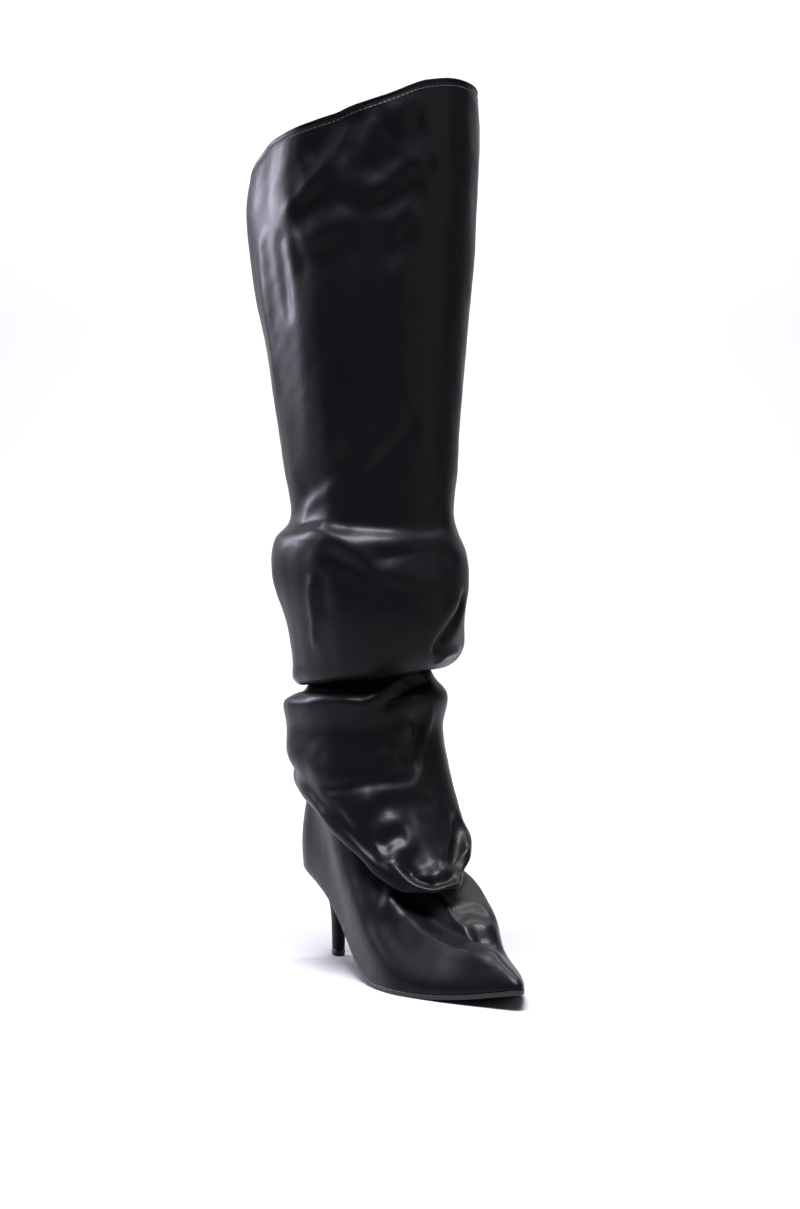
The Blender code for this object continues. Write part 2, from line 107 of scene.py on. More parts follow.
SEAT_LENGTH = 0.052
TIP_WIDTH = 0.0074
TIP_LENGTH = 0.0088
TIP_THICKNESS = 0.0042
TIP_PROUD = 0.0002
SPINE = (0.09, 0.88)
WAIST = (0.30, 0.55)
INSOLE_TOE = (0.80, 1.00)
FULLNESS = {"shaft": 2.3, "tip": 2.5}

# Fineness of the leather's mesh
ROUND_STEPS = 240
FOOT_STEPS = 56
FINER = 6               # rings for each one of the solid's
STEPS_BETWEEN = (2, 3, 3, 3, 2, 3, 2, 2, 2, 2, 2, 2, 2, 2, 2, 2, 3, 3, 2, 2, 2, 1, 1, 1)

OUTLINE = (
    # station, outer, inner
    (0.000, 0.000, 0.000),
    (0.012, 0.145, 0.145),
    (0.045, 0.255, 0.252),
    (0.100, 0.325, 0.320),
    (0.180, 0.350, 0.340),
    (0.300, 0.378, 0.310),
    (0.400, 0.415, 0.290),
    (0.500, 0.455, 0.335),
    (0.600, 0.495, 0.440),
    (0.670, 0.490, 0.495),
    (0.740, 0.430, 0.475),
    (0.810, 0.345, 0.388),
    (0.870, 0.255, 0.290),
    (0.930, 0.155, 0.172),
    (0.975, 0.076, 0.078),
    (0.993, 0.038, 0.038),
    (1.000, 0.000, 0.000),
)
PROFILE = (
    # station, heel, toe
    (0.000, 1.000, 0.00),
    (0.080, 0.965, 0.00),
    (0.160, 0.880, 0.00),
    (0.245, 0.735, 0.00),
    (0.325, 0.540, 0.00),
    (0.390, 0.345, 0.00),
    (0.445, 0.180, 0.00),
    (0.490, 0.075, 0.00),
    (0.530, 0.020, 0.00),
    (0.570, 0.000, 0.00),
    (0.730, 0.000, 0.00),
    (0.810, 0.000, 0.14),
    (0.880, 0.000, 0.38),
    (0.940, 0.000, 0.68),
    (1.000, 0.000, 1.00),
)
LAST = (
    # angle, toe, rise, swell, ahead, fall
    (0, 0.0, 0.30, 2.4, 0.00, 0.45),
    (25, 0.0, 0.30, 2.0, 0.02, 0.45),
    (50, 0.0, 0.30, 1.2, 0.05, 0.48),
    (80, 0.0, 0.27, 1.2, 0.09, 0.55),
    (110, 0.0, 0.21, 1.4, 0.10, 0.66),
    (140, 0.2, 0.16, 0.8, 0.08, 0.78),
    (165, 0.8, 0.20, 0.6, 0.06, 0.84),
    (180, 1.0, 0.20, 0.4, 0.05, 0.86),
)
COLLAR = (
    # angle, drop
    (0, 1.00),
    (60, 0.97),
    (75, 0.83),
    (90, 0.70),
    (124, 0.56),
    (158, 0.31),
    (184, 0.07),
    (205, 0.00),
    (225, 0.00),
    (255, 0.12),
    (300, 0.60),
    (335, 0.93),
    (360, 1.00),
)
SHAFT = (
    # level, drop, width, depth, station
    (1.000, 1.00, 0.98, 0.98, 0.230),
    (0.945, 0.80, 1.00, 1.00, 0.222),
    (0.850, 0.50, 0.96, 0.96, 0.230),
    (0.700, 0.15, 0.84, 0.84, 0.252),
    (0.572, 0.00, 0.74, 0.74, 0.268),
    (0.513, 0.00, 0.70, 0.70, 0.275),
)
GATHERS = (
    # level, up, slope, width, depth, out, station
    (0.481, 0.0, -0.60, 0.97, 0.97, 0.69, 0.268),
    (0.447, 0.0, -0.30, 0.97, 0.97, 0.80, 0.268),
    (0.399, 0.0, 0.30, 0.96, 0.96, 0.34, 0.298),
    (0.358, 0.0, 0.50, 0.94, 0.94, 0.08, 0.292),
    (0.339, 0.0, 0.60, 0.92, 0.92, -0.04, 0.272),
    (0.330, 0.2, 0.60, 0.92, 0.92, -0.42, 0.271),
    (0.336, 0.6, 0.60, 0.92, 0.92, -0.80, 0.270),
    (0.338, 0.6, 0.60, 0.92, 0.92, -1.12, 0.268),
    (0.324, 0.0, 0.50, 0.94, 0.94, -0.75, 0.262),
    (0.308, 0.0, 0.30, 0.96, 0.96, 0.02, 0.240),
    (0.274, 0.0, 0.00, 0.93, 0.93, 0.00, 0.236),
)
DRAPE = (
    # angle, level, reach
    (0, 0.73, 0.8),
    (64, 0.70, 0.9),
    (90, 0.66, 1.0),
    (122, 0.50, 1.0),
    (140, 0.39, 1.0),
    (156, 0.335, 1.0),
    (178, 0.335, 1.0),
    (196, 0.37, 1.0),
    (225, 0.44, 1.4),
    (260, 0.57, 1.3),
    (310, 0.69, 0.9),
    (360, 0.73, 0.8),
)
DRAPE_BODY = (
    # rise, width, depth, out, station
    (0.60, 0.93, 0.96, 0.125, 0.262),
)
DRAPE_TURN = (
    # up, out
    (1.80, 1.02),
    (0.70, 1.06),
    (0.00, 0.72),
    (0.45, 0.42),
    (1.00, 0.33),
    (1.25, 0.17),
    (1.00, 0.03),
    (0.75, 0.00),
)
BULGES = (
    # angle, ring, round, along, out
    (240, 3.4, 15, 0.80, 0.45),
)
SWELLINGS = (
    # angle, share, round, along, out
    (207, 0.46, 22, 0.12, 0.90),
    (224, 0.59, 22, 0.10, 0.85),
)
HEEL = (
    # height, seat
    (0.00, 0.000),
    (0.22, 0.012),
    (0.42, 0.045),
    (0.56, 0.105),
    (0.68, 0.220),
    (0.79, 0.420),
    (0.89, 0.700),
    (1.00, 1.000),
)


def column(table, index):
    return np.array([row[index] for row in table], float)


def through(table, index, at):
    """The column at `index` of a table, read between its rows along a smooth
    curve that never goes past them."""
    x, y = column(table, 0), column(table, index)
    at = np.asarray(at, float)
    step, rise = np.diff(x), np.diff(y)
    slope = rise / step
    turn = slope[:-1] * slope[1:] > 0
    both = np.where(turn, slope[:-1] + slope[1:], 1.0)
    inner = np.where(turn, 2.0 * slope[:-1] * slope[1:] / both, 0.0)
    tangent = np.concatenate([slope[:1], inner, slope[-1:]])
    k = np.clip(np.searchsorted(x, at, side="right") - 1, 0, len(step) - 1)
    t = (at - x[k]) / step[k]
    return (
        y[k] * (1 + 2 * t) * (1 - t) ** 2
        + step[k] * tangent[k] * t * (1 - t) ** 2
        + y[k + 1] * t**2 * (3 - 2 * t)
        + step[k] * tangent[k + 1] * t**2 * (t - 1)
    )


def mirrored(table):
    """A table that runs from the back to the front, carried on round the inner side."""
    return table + tuple((360 - row[0], *row[1:]) for row in reversed(table[:-1]))


def curve(points, closed=False):
    """Twenty-four points for each span of a smooth curve through `points`, which
    may be one line or many side by side, and how far along each one is."""
    points = np.asarray(points, float)
    if closed:
        padded = np.concatenate([points[-1:], points, points[:2]])
    else:
        first, last = 2 * points[:1] - points[1:2], 2 * points[-1:] - points[-2:-1]
        padded = np.concatenate([first, points, last])
    chord = np.linalg.norm(np.diff(padded, axis=0), axis=-1, keepdims=True) ** 0.5
    t = np.linspace(0, 1, 24, endpoint=False).reshape(-1, *[1] * (points.ndim - 1))
    parts = []
    for k in range(len(padded) - 3):
        a, b, c, d = padded[k : k + 4]
        before, here, after = chord[k : k + 3]
        enter = here * ((b - a) / before - (c - a) / (before + here)) + c - b
        leave = here * ((d - c) / after - (d - b) / (here + after)) + c - b
        parts.append(
            b * (1 + 2 * t) * (1 - t) ** 2
            + enter * t * (1 - t) ** 2
            + c * t**2 * (3 - 2 * t)
            + leave * t**2 * (t - 1)
        )
    dense = np.concatenate([*parts, padded[-2:-1]])
    step = np.linalg.norm(np.diff(dense, axis=0), axis=-1)
    return dense, np.concatenate([0 * step[:1], np.cumsum(step, axis=0)])


def by_length(line, shares):
    run = np.concatenate([[0], np.cumsum(np.linalg.norm(np.diff(line, axis=0), axis=1))])
    return np.stack([np.interp(shares * run[-1], run, axis) for axis in line.T], axis=-1)


def place(across, station, height):
    """Points from distances to the inner side, stations and heights."""
    across, station, height = np.broadcast_arrays(across, station, height)
    return np.stack([across, HEEL_SET - station, height], axis=-1)


def angles():
    return np.linspace(0, 360, ROUND_STEPS, endpoint=False)


def round_wave(side):
    """1 on one side of the boot and -1 on the other."""
    return np.cos(np.radians(angles() - side))


def rounded(across, back, section):
    """How far out a rounded section reaches in a direction."""
    power = FULLNESS[section]
    return (np.abs(across) ** power + np.abs(back) ** power) ** (-1 / power)


def ring(width, depth, station, height):
    """A ring of the shaft, a little fuller than an ellipse."""
    turn = np.radians(angles())
    across, back = np.sin(turn), np.cos(turn)
    full = rounded(across, back, "shaft")
    return place(-width / 2 * across * full, station - depth / 2 * back * full, height)


def fine_edge():
    """The sole's two edges from above, back to toe: outer and inner."""
    station = column(OUTLINE, 0) * LENGTH
    outer = np.stack([-column(OUTLINE, 1) * BALL_WIDTH, station], axis=-1)
    inner = np.stack([column(OUTLINE, 2) * BALL_WIDTH, station], axis=-1)
    loop = by_length(curve(np.vstack([outer, inner[-2:0:-1]]), True)[0], np.linspace(0, 1, 1441))
    toe = int(np.argmax(loop[:, 1]))
    return loop[: toe + 1], loop[toe:][::-1]


def edge_stations(shares):
    """Stations of the edge's points, the same on both sides."""
    sides = [by_length(line, shares)[:, 1] for line in fine_edge()]
    return np.concatenate([[0], np.mean(sides, axis=0)[1:-1], [LENGTH]])


def edge_across(stations):
    """Where the two edges lie at some stations."""
    return [np.interp(stations, line[:, 1], line[:, 0]) for line in fine_edge()]


def sole_edge():
    """The sole's edge from above, one point for each angle."""
    stations = edge_stations(np.linspace(0, 1, ROUND_STEPS // 2 + 1))
    outer, inner = edge_across(stations)
    outer[[0, -1]] = inner[[0, -1]] = 0
    left = np.stack([outer, stations], axis=-1)
    right = np.stack([inner, stations], axis=-1)
    return np.vstack([left, right[-2:0:-1]])


def drawn_in(edge, distance):
    """A line from above, moved in towards the middle line of the foot."""
    spine = np.stack(
        [edge[:, 0] * 0, np.clip(edge[:, 1], SPINE[0] * LENGTH, SPINE[1] * LENGTH)], axis=-1
    )
    way = spine - edge
    return edge + way * (distance / np.linalg.norm(way, axis=1))[:, None]


def sole_under(stations):
    share = np.asarray(stations) / LENGTH
    return HEEL_HEIGHT * through(PROFILE, 1, share) + TOE_SPRING * through(PROFILE, 2, share)


def sole_top(stations):
    front = np.clip((np.asarray(stations) / LENGTH - WAIST[0]) / (WAIST[1] - WAIST[0]), 0, 1)
    return sole_under(stations) + SHANK_THICKNESS + (SOLE_THICKNESS - SHANK_THICKNESS) * front


def foot(shares):
    """Rings of the foot, from the sole at share 0 to the ankle at 1."""
    last = mirrored(LAST)
    toe, rise, swell, ahead, fall = (through(last, k, angles()) for k in range(1, 6))
    edge = sole_edge()
    out = edge - drawn_in(edge, 1.0)
    start = place(edge[:, 0], edge[:, 1], sole_top(edge[:, 1]) + SEAM_GAP)
    turn = np.radians(angles())
    end = place(
        -ANKLE_WIDTH / 2 * np.sin(turn),
        ANKLE_STATION - ANKLE_DEPTH / 2 * np.cos(turn),
        ANKLE_HEIGHT + ANKLE_TILT * np.cos(turn),
    )
    height = end[:, 2] - start[:, 2]
    upright = toe * TOE_DEPTH * 4 / 3 + (1 - toe) * rise * height
    lower = start + place(
        out[:, 0] * swell * WALL, HEEL_SET + out[:, 1] * swell * WALL, upright
    )
    upper = end + place(0 * height, HEEL_SET + ahead * ANKLE_DEPTH, -fall * height)
    t = np.asarray(shares, float)[..., None]
    return (
        start * (1 - t) ** 3
        + lower * 3 * t * (1 - t) ** 2
        + upper * 3 * t**2 * (1 - t)
        + end * t**3
    )


def outward(rings):
    """Which way the outer face of a stack of rings looks, at each point."""
    along_rings = np.gradient(rings, axis=0)
    round_rings = np.roll(rings, -1, axis=1) - np.roll(rings, 1, axis=1)
    way = np.cross(along_rings, round_rings)
    return way / np.maximum(np.linalg.norm(way, axis=2), 1e-12)[..., None]


def swollen_foot(shares):
    """The foot with the swellings of its leather, and which way it looks."""
    shares = np.broadcast_to(shares, (ROUND_STEPS,))
    rings = np.stack([foot(shares + k * 0.01) for k in (-1, 0, 1)])
    way = -outward(rings)[1]
    out = np.zeros(ROUND_STEPS)
    for angle, share, wide, tall, height in SWELLINGS:
        near = ((angles() - angle) / wide) ** 2 + ((shares - share) / tall) ** 2
        out += height * FOLD_DEPTH * np.exp(-near)
    return rings[1] + way * out[:, None], way


def share_at(height):
    """How far up the foot each angle reaches a height above the floor."""
    shares = np.linspace(0, 1, 101)
    levels = np.stack([foot(share)[:, 2] for share in shares])
    return np.array(
        [np.interp(height[k], levels[:, k], shares) for k in range(ROUND_STEPS)]
    )


def drape_rings():
    """The lowest fold, from its outer face round its edge and up behind it."""
    edge = through(DRAPE, 1, angles()) * ANKLE_HEIGHT
    reach = through(DRAPE, 2, angles())
    hung_from = GATHERS[-1][0] * BOOT_HEIGHT
    rings = [
        ring(
            width * SLOUCH_WIDTH + 2 * out * FOLD_DEPTH,
            depth * SLOUCH_DEPTH + 2 * out * FOLD_DEPTH,
            station * LENGTH,
            edge + rise * (hung_from - edge),
        )
        for rise, width, depth, out, station in DRAPE_BODY
    ]
    *turn, start = [(share_at(edge + up * FOLD_TUCK), out) for up, out in DRAPE_TURN]
    for shares, out in turn:
        point, way = swollen_foot(shares)
        rings.append(point + way * (reach * out * FOLD_DEPTH)[:, None])
    return rings, start[0]


def bulge(number):
    """How far a ring of the gathers bulges out at each angle."""
    out = np.zeros(ROUND_STEPS)
    for angle, ring_number, wide, tall, height in BULGES:
        off = (angles() - angle + 180) % 360 - 180
        near = (off / wide) ** 2 + ((number - ring_number) / tall) ** 2
        out += height * FOLD_DEPTH * np.exp(-near)
    return out


def skin():
    """The upper's outer face from the collar to the sole, and the number of each
    ring: guide rings count from the collar down, and the foot goes from the last
    guide's number to one more."""
    shaft = [
        ring(
            width * SHAFT_WIDTH,
            depth * SHAFT_DEPTH,
            station * LENGTH,
            level * BOOT_HEIGHT - drop * COLLAR_DROP * through(COLLAR, 1, angles()),
        )
        for level, drop, width, depth, station in SHAFT
    ]
    gathers = [
        ring(
            width * SLOUCH_WIDTH + 2 * (out * FOLD_DEPTH + bulge(number)),
            depth * SLOUCH_DEPTH + 2 * (out * FOLD_DEPTH + bulge(number)),
            station * LENGTH,
            level * BOOT_HEIGHT + FOLD_TUCK * (up + slope * round_wave(FOLD_SIDE)),
        )
        for number, (level, up, slope, width, depth, out, station) in enumerate(GATHERS)
    ]
    drape, top = drape_rings()
    guides = np.stack(shaft + gathers + drape)
    dense, run = curve(guides)
    chords = np.linalg.norm(np.diff(guides, axis=0), axis=2)
    reached = np.concatenate([np.zeros((1, ROUND_STEPS)), np.cumsum(chords, axis=0)])
    number = np.concatenate(
        [np.arange(n * FINER) / (n * FINER) + k for k, n in enumerate(STEPS_BETWEEN)]
        + [[len(STEPS_BETWEEN)]]
    )
    knots = np.arange(len(guides))
    columns = []
    for k in range(ROUND_STEPS):
        share = np.interp(number, knots, reached[:, k] / reached[-1, k])
        at = share * run[-1, k]
        columns.append(
            np.stack([np.interp(at, run[:, k], axis) for axis in dense[:, k].T], axis=-1)
        )
    down = np.linspace(0, 1, FOOT_STEPS + 1)
    sole = [swollen_foot(top * (1 - t))[0] for t in down]
    rings = np.concatenate([np.stack(columns, axis=1), np.stack(sole)])
    return rings, np.concatenate([number, knots[-1] + 0.02 + 0.98 * down])


# --- END OF FORM ------------------------------------------------------------

# --- CREASES ----------------------------------------------------------------
# Soft ridges and troughs of the leather, pressed along lines on its surface.
# Width and depth: millimetres, out when positive. Sharp: 2 is round, less is
# pinched. Line: angles and ring numbers, as skin() counts the rings.

SOFTENING = 1           # times that the creases are blurred on the grid
REACH = 2.6             # how far a crease works, in its widths
GRID_STEP = 0.8         # the finest spacing of the leather's grid, in millimetres
FADING_END = 0.22       # share of a line over which each end fades
TURNED_AWAY = 1.6       # how sharply a crease stops where the leather turns away
PINCH = (1.5, 1.2)      # below this sharpness, how much narrower a crease falls off
LINE_POINTS = 90
LINE_SCALE = (1 / 30, 1.0)      # rings for a degree and for a ring, to space a line's points
FOOT_RING = 24.0        # where the foot starts
UNEVENNESS = (
    # height in millimetres, size of its bumps, seed
    (0.45, 0.050, 3),
    (0.16, 0.017, 5),
)
EVENER_FOOT = (0.6, 0.25)       # within these rings of the foot, down to this share
SOLE_FADE = (24.80, 0.16)       # from this ring on, over so many, nothing is pressed

CREASES = (
    # place, width, depth, sharp, line
    ("collar: ridge from the dent", 4.1, 1.95, 1.6, (
        (144, 0.17), (142, 0.42), (138, 0.67), (134, 1), (128, 1.17), (120, 1.33), (112, 1.5),
        (100, 1.61),
    )),
    ("hollow behind it", 8.1, -3.25, 2, (
        (142, 0), (136, 0.17), (132, 0.42), (126, 0.67), (117, 0.83),
    )),
    ("hollow before it", 6.1, -2.75, 1.8, (
        (148, 0.08), (146, 0.42), (142, 0.67), (140, 1), (135, 1.17),
    )),
    ("second ridge", 6.1, 2, 2, ((156, 0.33), (152, 0.58), (148, 0.92), (146, 1.11), (144, 1.28))),
    ("third ridge", 8.1, 1.88, 2, ((158, 0.5), (165, 0.5), (172, 0.42), (183, 0.33))),
    ("hollow between them", 8.1, -1.5, 2, ((159, 1), (166, 0.92), (174, 0.92), (183, 0.83))),
    ("long ridge", 7.4, 2.75, 1.8, (
        (144, 1.56), (150, 1.56), (158, 1.56), (166, 1.44), (174, 1.39), (189, 1.28),
    )),
    ("hollow over it", 9.5, -2, 2, ((148, 1.33), (156, 1.33), (164, 1.28), (171, 1.22))),
    ("hollow under it", 8.1, -2.5, 2, (
        (148, 1.72), (158, 1.72), (165, 1.67), (174, 1.56), (180, 1.5),
    )),
    ("side hollow", 12.2, -2.75, 2, (
        (111, 1.67), (122, 1.61), (132, 1.61), (140, 1.61), (144, 1.5),
    )),
    ("side ridge", 9.5, 2.12, 2, ((110, 2), (120, 2), (130, 1.94), (138, 1.89), (146, 1.78))),
    ("hollow under the side ridge", 12.2, -2.25, 2, (
        (106, 2.17), (122, 2.17), (134, 2.17), (142, 2.11), (150, 2.06),
    )),
    ("front ridge", 6.8, 1.62, 2, ((159, 2.11), (165, 2.06), (171, 1.94), (177, 1.83))),
    ("front hollow", 6.1, -2, 2, ((159, 2.33), (165, 2.22), (170, 2.11), (172, 2))),
    ("low front ridge", 9.5, 1.25, 2, ((164, 2.56), (168, 2.39), (171, 2.22))),
    ("back strip: its ridge", 9, 1.5, 2, (
        (80, 1.44), (80, 1.89), (78, 2.22), (77, 2.61), (76, 2.94), (75, 3.33),
    )),
    ("back strip: hollow", 6, -1.2, 2, ((100, 1.72), (100, 2.11), (100, 2.39), (99, 2.72))),
    ("shaft: long crease", 3.5, 1.6, 1.2, (
        (188, 3.39), (176, 3.56), (168, 3.72), (159, 3.83), (147, 4), (130, 4.25), (117, 4.5),
        (98, 4.75), (84, 5.28),
    )),
    ("hollow under the crease", 5.5, -2.2, 1.6, (
        (183, 3.5), (174, 3.72), (166, 3.83), (153, 4), (140, 4.33),
    )),
    ("swelling over the crease", 6, 1.5, 2, ((171, 3.5), (162, 3.61), (158, 3.78), (148, 3.89))),
    ("hollow over the crease", 11, -1.8, 2, ((84, 4.58), (111, 4.33), (130, 4), (144, 3.89))),
    ("valley over the first fold", 6, -2.4, 2, (
        (112, 5.28), (142, 5.28), (170, 5.28), (200, 5.17), (216, 5.06),
    )),
    ("first fold: its crest", 7, 2.3, 1.8, (
        (87, 5.94), (98, 5.67), (116, 5.61), (130, 5.94), (141, 6.33), (148, 6.67), (158, 6.83),
        (174, 7), (190, 7), (212, 6.67),
    )),
    ("valley behind the crest", 4.5, -2.2, 1.6, (
        (148, 6.58), (160, 6.25), (182, 6), (200, 6), (212, 6.33),
    )),
    ("hollow under the crest", 8, -2.4, 2, ((118, 6.25), (130, 6.5), (141, 6.75), (150, 7.08))),
    ("first fold: upright edge", 4, 2, 1.3, (
        (114, 6.92), (110, 7.25), (106, 7.58), (104, 8), (99, 8.67),
    )),
    ("hollow beside the edge", 6, -1.2, 2, ((120, 6.75), (118, 7.33), (114, 7.92))),
    ("first fold: front edge's valley", 3.5, -4, 1.5, (
        (216, 7.08), (218, 7.67), (207, 8.25), (198, 8.75), (196, 9.33),
    )),
    ("rolled loop", 3, 2.5, 1.6, ((202, 9.92), (207, 9.25), (220, 9.08), (231, 9.17))),
    ("lip", 4, 1.9, 1.6, (
        (54, 14.83), (72, 14.4), (106, 14.58), (132, 14.92), (148, 15.08), (159, 14.42),
        (176, 13.92), (189, 13.9),
    )),
    ("shadow under the lip", 5, -3.5, 1.6, (
        (153, 15.33), (164, 15.08), (176, 14.58), (194, 14.17), (212, 14.08),
    )),
    ("bump in the hollow", 5, 1.5, 2, ((166, 16.06), (176, 16), (188, 15.75))),
    ("bump below it", 5, 1.2, 2, ((156, 16.33), (165, 16.39), (172, 16.5))),
    ("upright ridge by the lip", 4, 1.5, 2, ((184, 13.92), (183, 14.5), (184, 15.08))),
    ("second fold: front ridge", 3, 2, 1.4, (
        (201, 15.17), (201, 15.75), (196, 16.17), (192, 16.44), (192, 16.61), (188, 16.78),
        (178, 16.83),
    )),
    ("hollow beside the front ridge", 6.5, -3, 2, (
        (189, 15.33), (190, 16), (188, 16.28), (178, 16.61),
    )),
    ("crease across: lit edge", 3, 1, 1.5, (
        (99, 17.5), (108, 17.67), (122, 17.33), (138, 17), (153, 16.83), (170, 16.83),
        (184, 16.78), (190, 16.67), (194, 16.44), (196, 16.22),
    )),
    ("crease across: hollow", 5, -2.4, 1.6, (
        (105, 17.61), (120, 17.22), (136, 16.94), (152, 16.78), (170, 16.72), (182, 16.67),
        (188, 16.5),
    )),
    ("crease across: second edge", 4, 1.3, 1.6, (
        (144, 17.06), (154, 16.94), (168, 16.94), (183, 16.94), (195, 17.06), (206, 17.33),
        (208, 17.61),
    )),
    ("drape: arc under it", 4, -1.6, 1.6, (
        (150, 17.06), (162, 17), (176, 17), (188, 17.11), (198, 17.28),
    )),
    ("drape: lit patch", 8, 1.6, 2, ((126, 17.83), (134, 17.44), (142, 17.17), (153, 17.06))),
    ("drape: first hook, hollow", 6, -1.2, 2, (
        (142, 17.39), (150, 17.28), (156, 17.17), (162, 17.17), (170, 17.17), (174, 17.28),
        (168, 17.39),
    )),
    ("drape: first hook, ridge", 5, 0.7, 2, (
        (150, 17.5), (158, 17.33), (164, 17.28), (168, 17.22),
    )),
    ("drape: hollow over the arm", 5, -2.2, 2, (
        (146, 17.89), (152, 17.72), (160, 17.61), (170, 17.61),
    )),
    ("drape: short arm", 4, 1.2, 1.7, (
        (142, 18.42), (148, 17.94), (156, 17.78), (164, 17.72), (170, 17.78),
    )),
    ("drape: bright arc", 3, 3.6, 1.6, (
        (159, 17.78), (156, 17.89), (154, 18.08), (158, 18.67), (162, 19.25), (168, 19.67),
        (177, 19.83), (180, 19.75), (200, 19.92), (210, 19.83),
    )),
    ("drape: pocket", 10, -3, 2, ((165, 17.78), (170, 17.94), (177, 18.33), (180, 18.67))),
    ("drape: pocket behind the arc", 4.2, -4.6, 1.8, (
        (162, 17.89), (164, 18.33), (166, 18.92), (174, 19.33), (178, 19.5), (182, 19.25),
        (195, 19.17),
    )),
    ("drape: front face's edge", 3.2, 1.6, 1.6, (
        (213, 17.44), (207, 17.72), (196, 17.94), (183, 18.25),
    )),
    ("drape: far hollow", 5.5, -5, 2, (
        (219, 17.44), (218, 17.72), (212, 18), (201, 18.58), (186, 18.92),
    )),
    ("drape: far rim", 2.4, 2, 1.6, ((222, 17.56), (225, 17.94), (216, 18.58), (212, 19.33))),
    ("vamp: lit ridge", 8, 4.2, 2, (
        (129, 24.23), (141, 24.18), (150, 24.18), (154, 24.25), (159, 24.34), (164, 24.44),
        (170, 24.54), (176, 24.63), (180, 24.77),
    )),
    ("vamp: side's hollow", 10, -1.2, 2, (
        (110, 24.41), (124, 24.42), (135, 24.49), (148, 24.54), (159, 24.68),
    )),
    ("vamp: hollow", 10, -6.4, 2, (
        (147, 24.06), (154, 24.09), (162, 24.16), (166, 24.25), (174, 24.32), (184, 24.35),
        (194, 24.38),
    )),
    ("vamp: hollow under the far fold", 7, -1.6, 2, (
        (177, 24.21), (188, 24.23), (195, 24.3), (201, 24.41),
    )),
    ("vamp: far fold", 4, 0.9, 1.6, (
        (178, 24.07), (184, 24.14), (192, 24.2), (201, 24.25), (202, 24.34), (207, 24.42),
        (206, 24.46),
    )),
    ("vamp: small fold", 4, 0.7, 1.6, ((188, 24.34), (194, 24.39), (204, 24.46))),
    ("vamp: notch", 7, -4, 2, ((184, 24.41), (190, 24.46), (186, 24.49))),
    ("vamp: line at the notch", 4, 1, 1.6, (
        (186, 24.44), (182, 24.49), (182, 24.54), (182, 24.61),
    )),
)


def on_grid(rings, numbers, line):
    """Where a line of angles and ring numbers runs in the grid, finely stepped."""
    scale = np.array(LINE_SCALE)
    shares = np.linspace(0, 1, LINE_POINTS)
    dense = by_length(curve(np.array(line, float) * scale)[0], shares) / scale
    column = dense[:, 0] * ROUND_STEPS / 360
    row = np.interp(dense[:, 1], numbers, np.arange(len(numbers)))
    low, left = np.floor(row).astype(int), np.floor(column).astype(int)
    low = np.clip(low, 0, len(rings) - 2)
    down, over = (row - low)[:, None], (column - left)[:, None]
    here, there = left % ROUND_STEPS, (left + 1) % ROUND_STEPS
    points = (rings[low, here] * (1 - over) + rings[low, there] * over) * (1 - down) + (
        rings[low + 1, here] * (1 - over) + rings[low + 1, there] * over
    ) * down
    return points, row, column


def softened(push):
    """Blurs a field on the grid a little, so that creases that meet run together."""
    for _ in range(SOFTENING):
        push = (np.roll(push, 1, axis=1) + 2 * push + np.roll(push, -1, axis=1)) / 4
        above, below = np.vstack([push[:1], push[:-1]]), np.vstack([push[1:], push[-1:]])
        push = (above + 2 * push + below) / 4
    return push


def eased(share):
    share = np.clip(share, 0, 1)
    return share * share * (3 - 2 * share)


def pressed(rings, numbers, creases):
    """How far the creases push each point of the leather out."""
    way = outward(rings)
    push = np.zeros(rings.shape[:2])
    for _, width, depth, sharp, line in creases:
        points, row, column = on_grid(rings, numbers, line)
        reach = int(math.ceil(REACH * width / GRID_STEP))
        rows = np.arange(
            max(0, int(row.min()) - reach), min(len(rings), int(row.max()) + reach + 2)
        )
        columns = np.arange(int(column.min()) - reach, int(column.max()) + reach + 2)
        columns = columns[:ROUND_STEPS] % ROUND_STEPS
        patch = rings[np.ix_(rows, columns)].reshape(-1, 3)
        facing = way[np.ix_(rows, columns)].reshape(-1, 3)
        off = np.linalg.norm(patch[:, None] - points[None], axis=2)
        near = off.argmin(axis=1)
        distance = off[np.arange(len(patch)), near] / (width * MM)
        share = near / (len(points) - 1)
        ends = eased(share / FADING_END) * eased((1 - share) / FADING_END)
        line_way = way[
            np.clip(np.round(row).astype(int), 0, len(rings) - 1),
            np.round(column).astype(int) % ROUND_STEPS,
        ]
        same = np.clip(TURNED_AWAY * np.einsum("ij,ij->i", facing, line_way[near]), 0, 1)
        narrower = PINCH[1] if sharp < PINCH[0] else 1
        add = depth * MM * ends * same * np.exp(-(distance**sharp) * narrower)
        push[np.ix_(rows, columns)] += add.reshape(len(rows), len(columns))
    return softened(push), way


def uneven(points, size, seed):
    """A soft unevenness between about -1 and 1, with bumps of a size in metres: seven
    waves that cross each other."""
    chance = np.random.default_rng(seed)
    total = np.zeros(points.shape[:-1])
    for _ in range(7):
        way = chance.normal(size=3)
        way /= np.linalg.norm(way)
        stretch = chance.uniform(0.7, 1.5)
        total += np.sin(points @ way * (2 * math.pi / (size * stretch)) + chance.uniform(0, 6.28))
    return total / 3.2


@functools.lru_cache
def leather_face(strength):
    """The finished outer face of the upper, with its creases."""
    rings, numbers = skin()
    push, way = pressed(rings, numbers, CREASES)
    over, least = EVENER_FOOT
    soft = 1 - eased((numbers - FOOT_RING) / over)[:, None]
    relief = sum(height * uneven(rings, size, seed) for height, size, seed in UNEVENNESS)
    push = push + MM * relief * (least + (1 - least) * soft)
    start, over = SOLE_FADE
    kept = 1 - eased((numbers - start) / over)[:, None]
    return rings + way * (push * strength * kept)[..., None], numbers


# --- MESHES -----------------------------------------------------------------


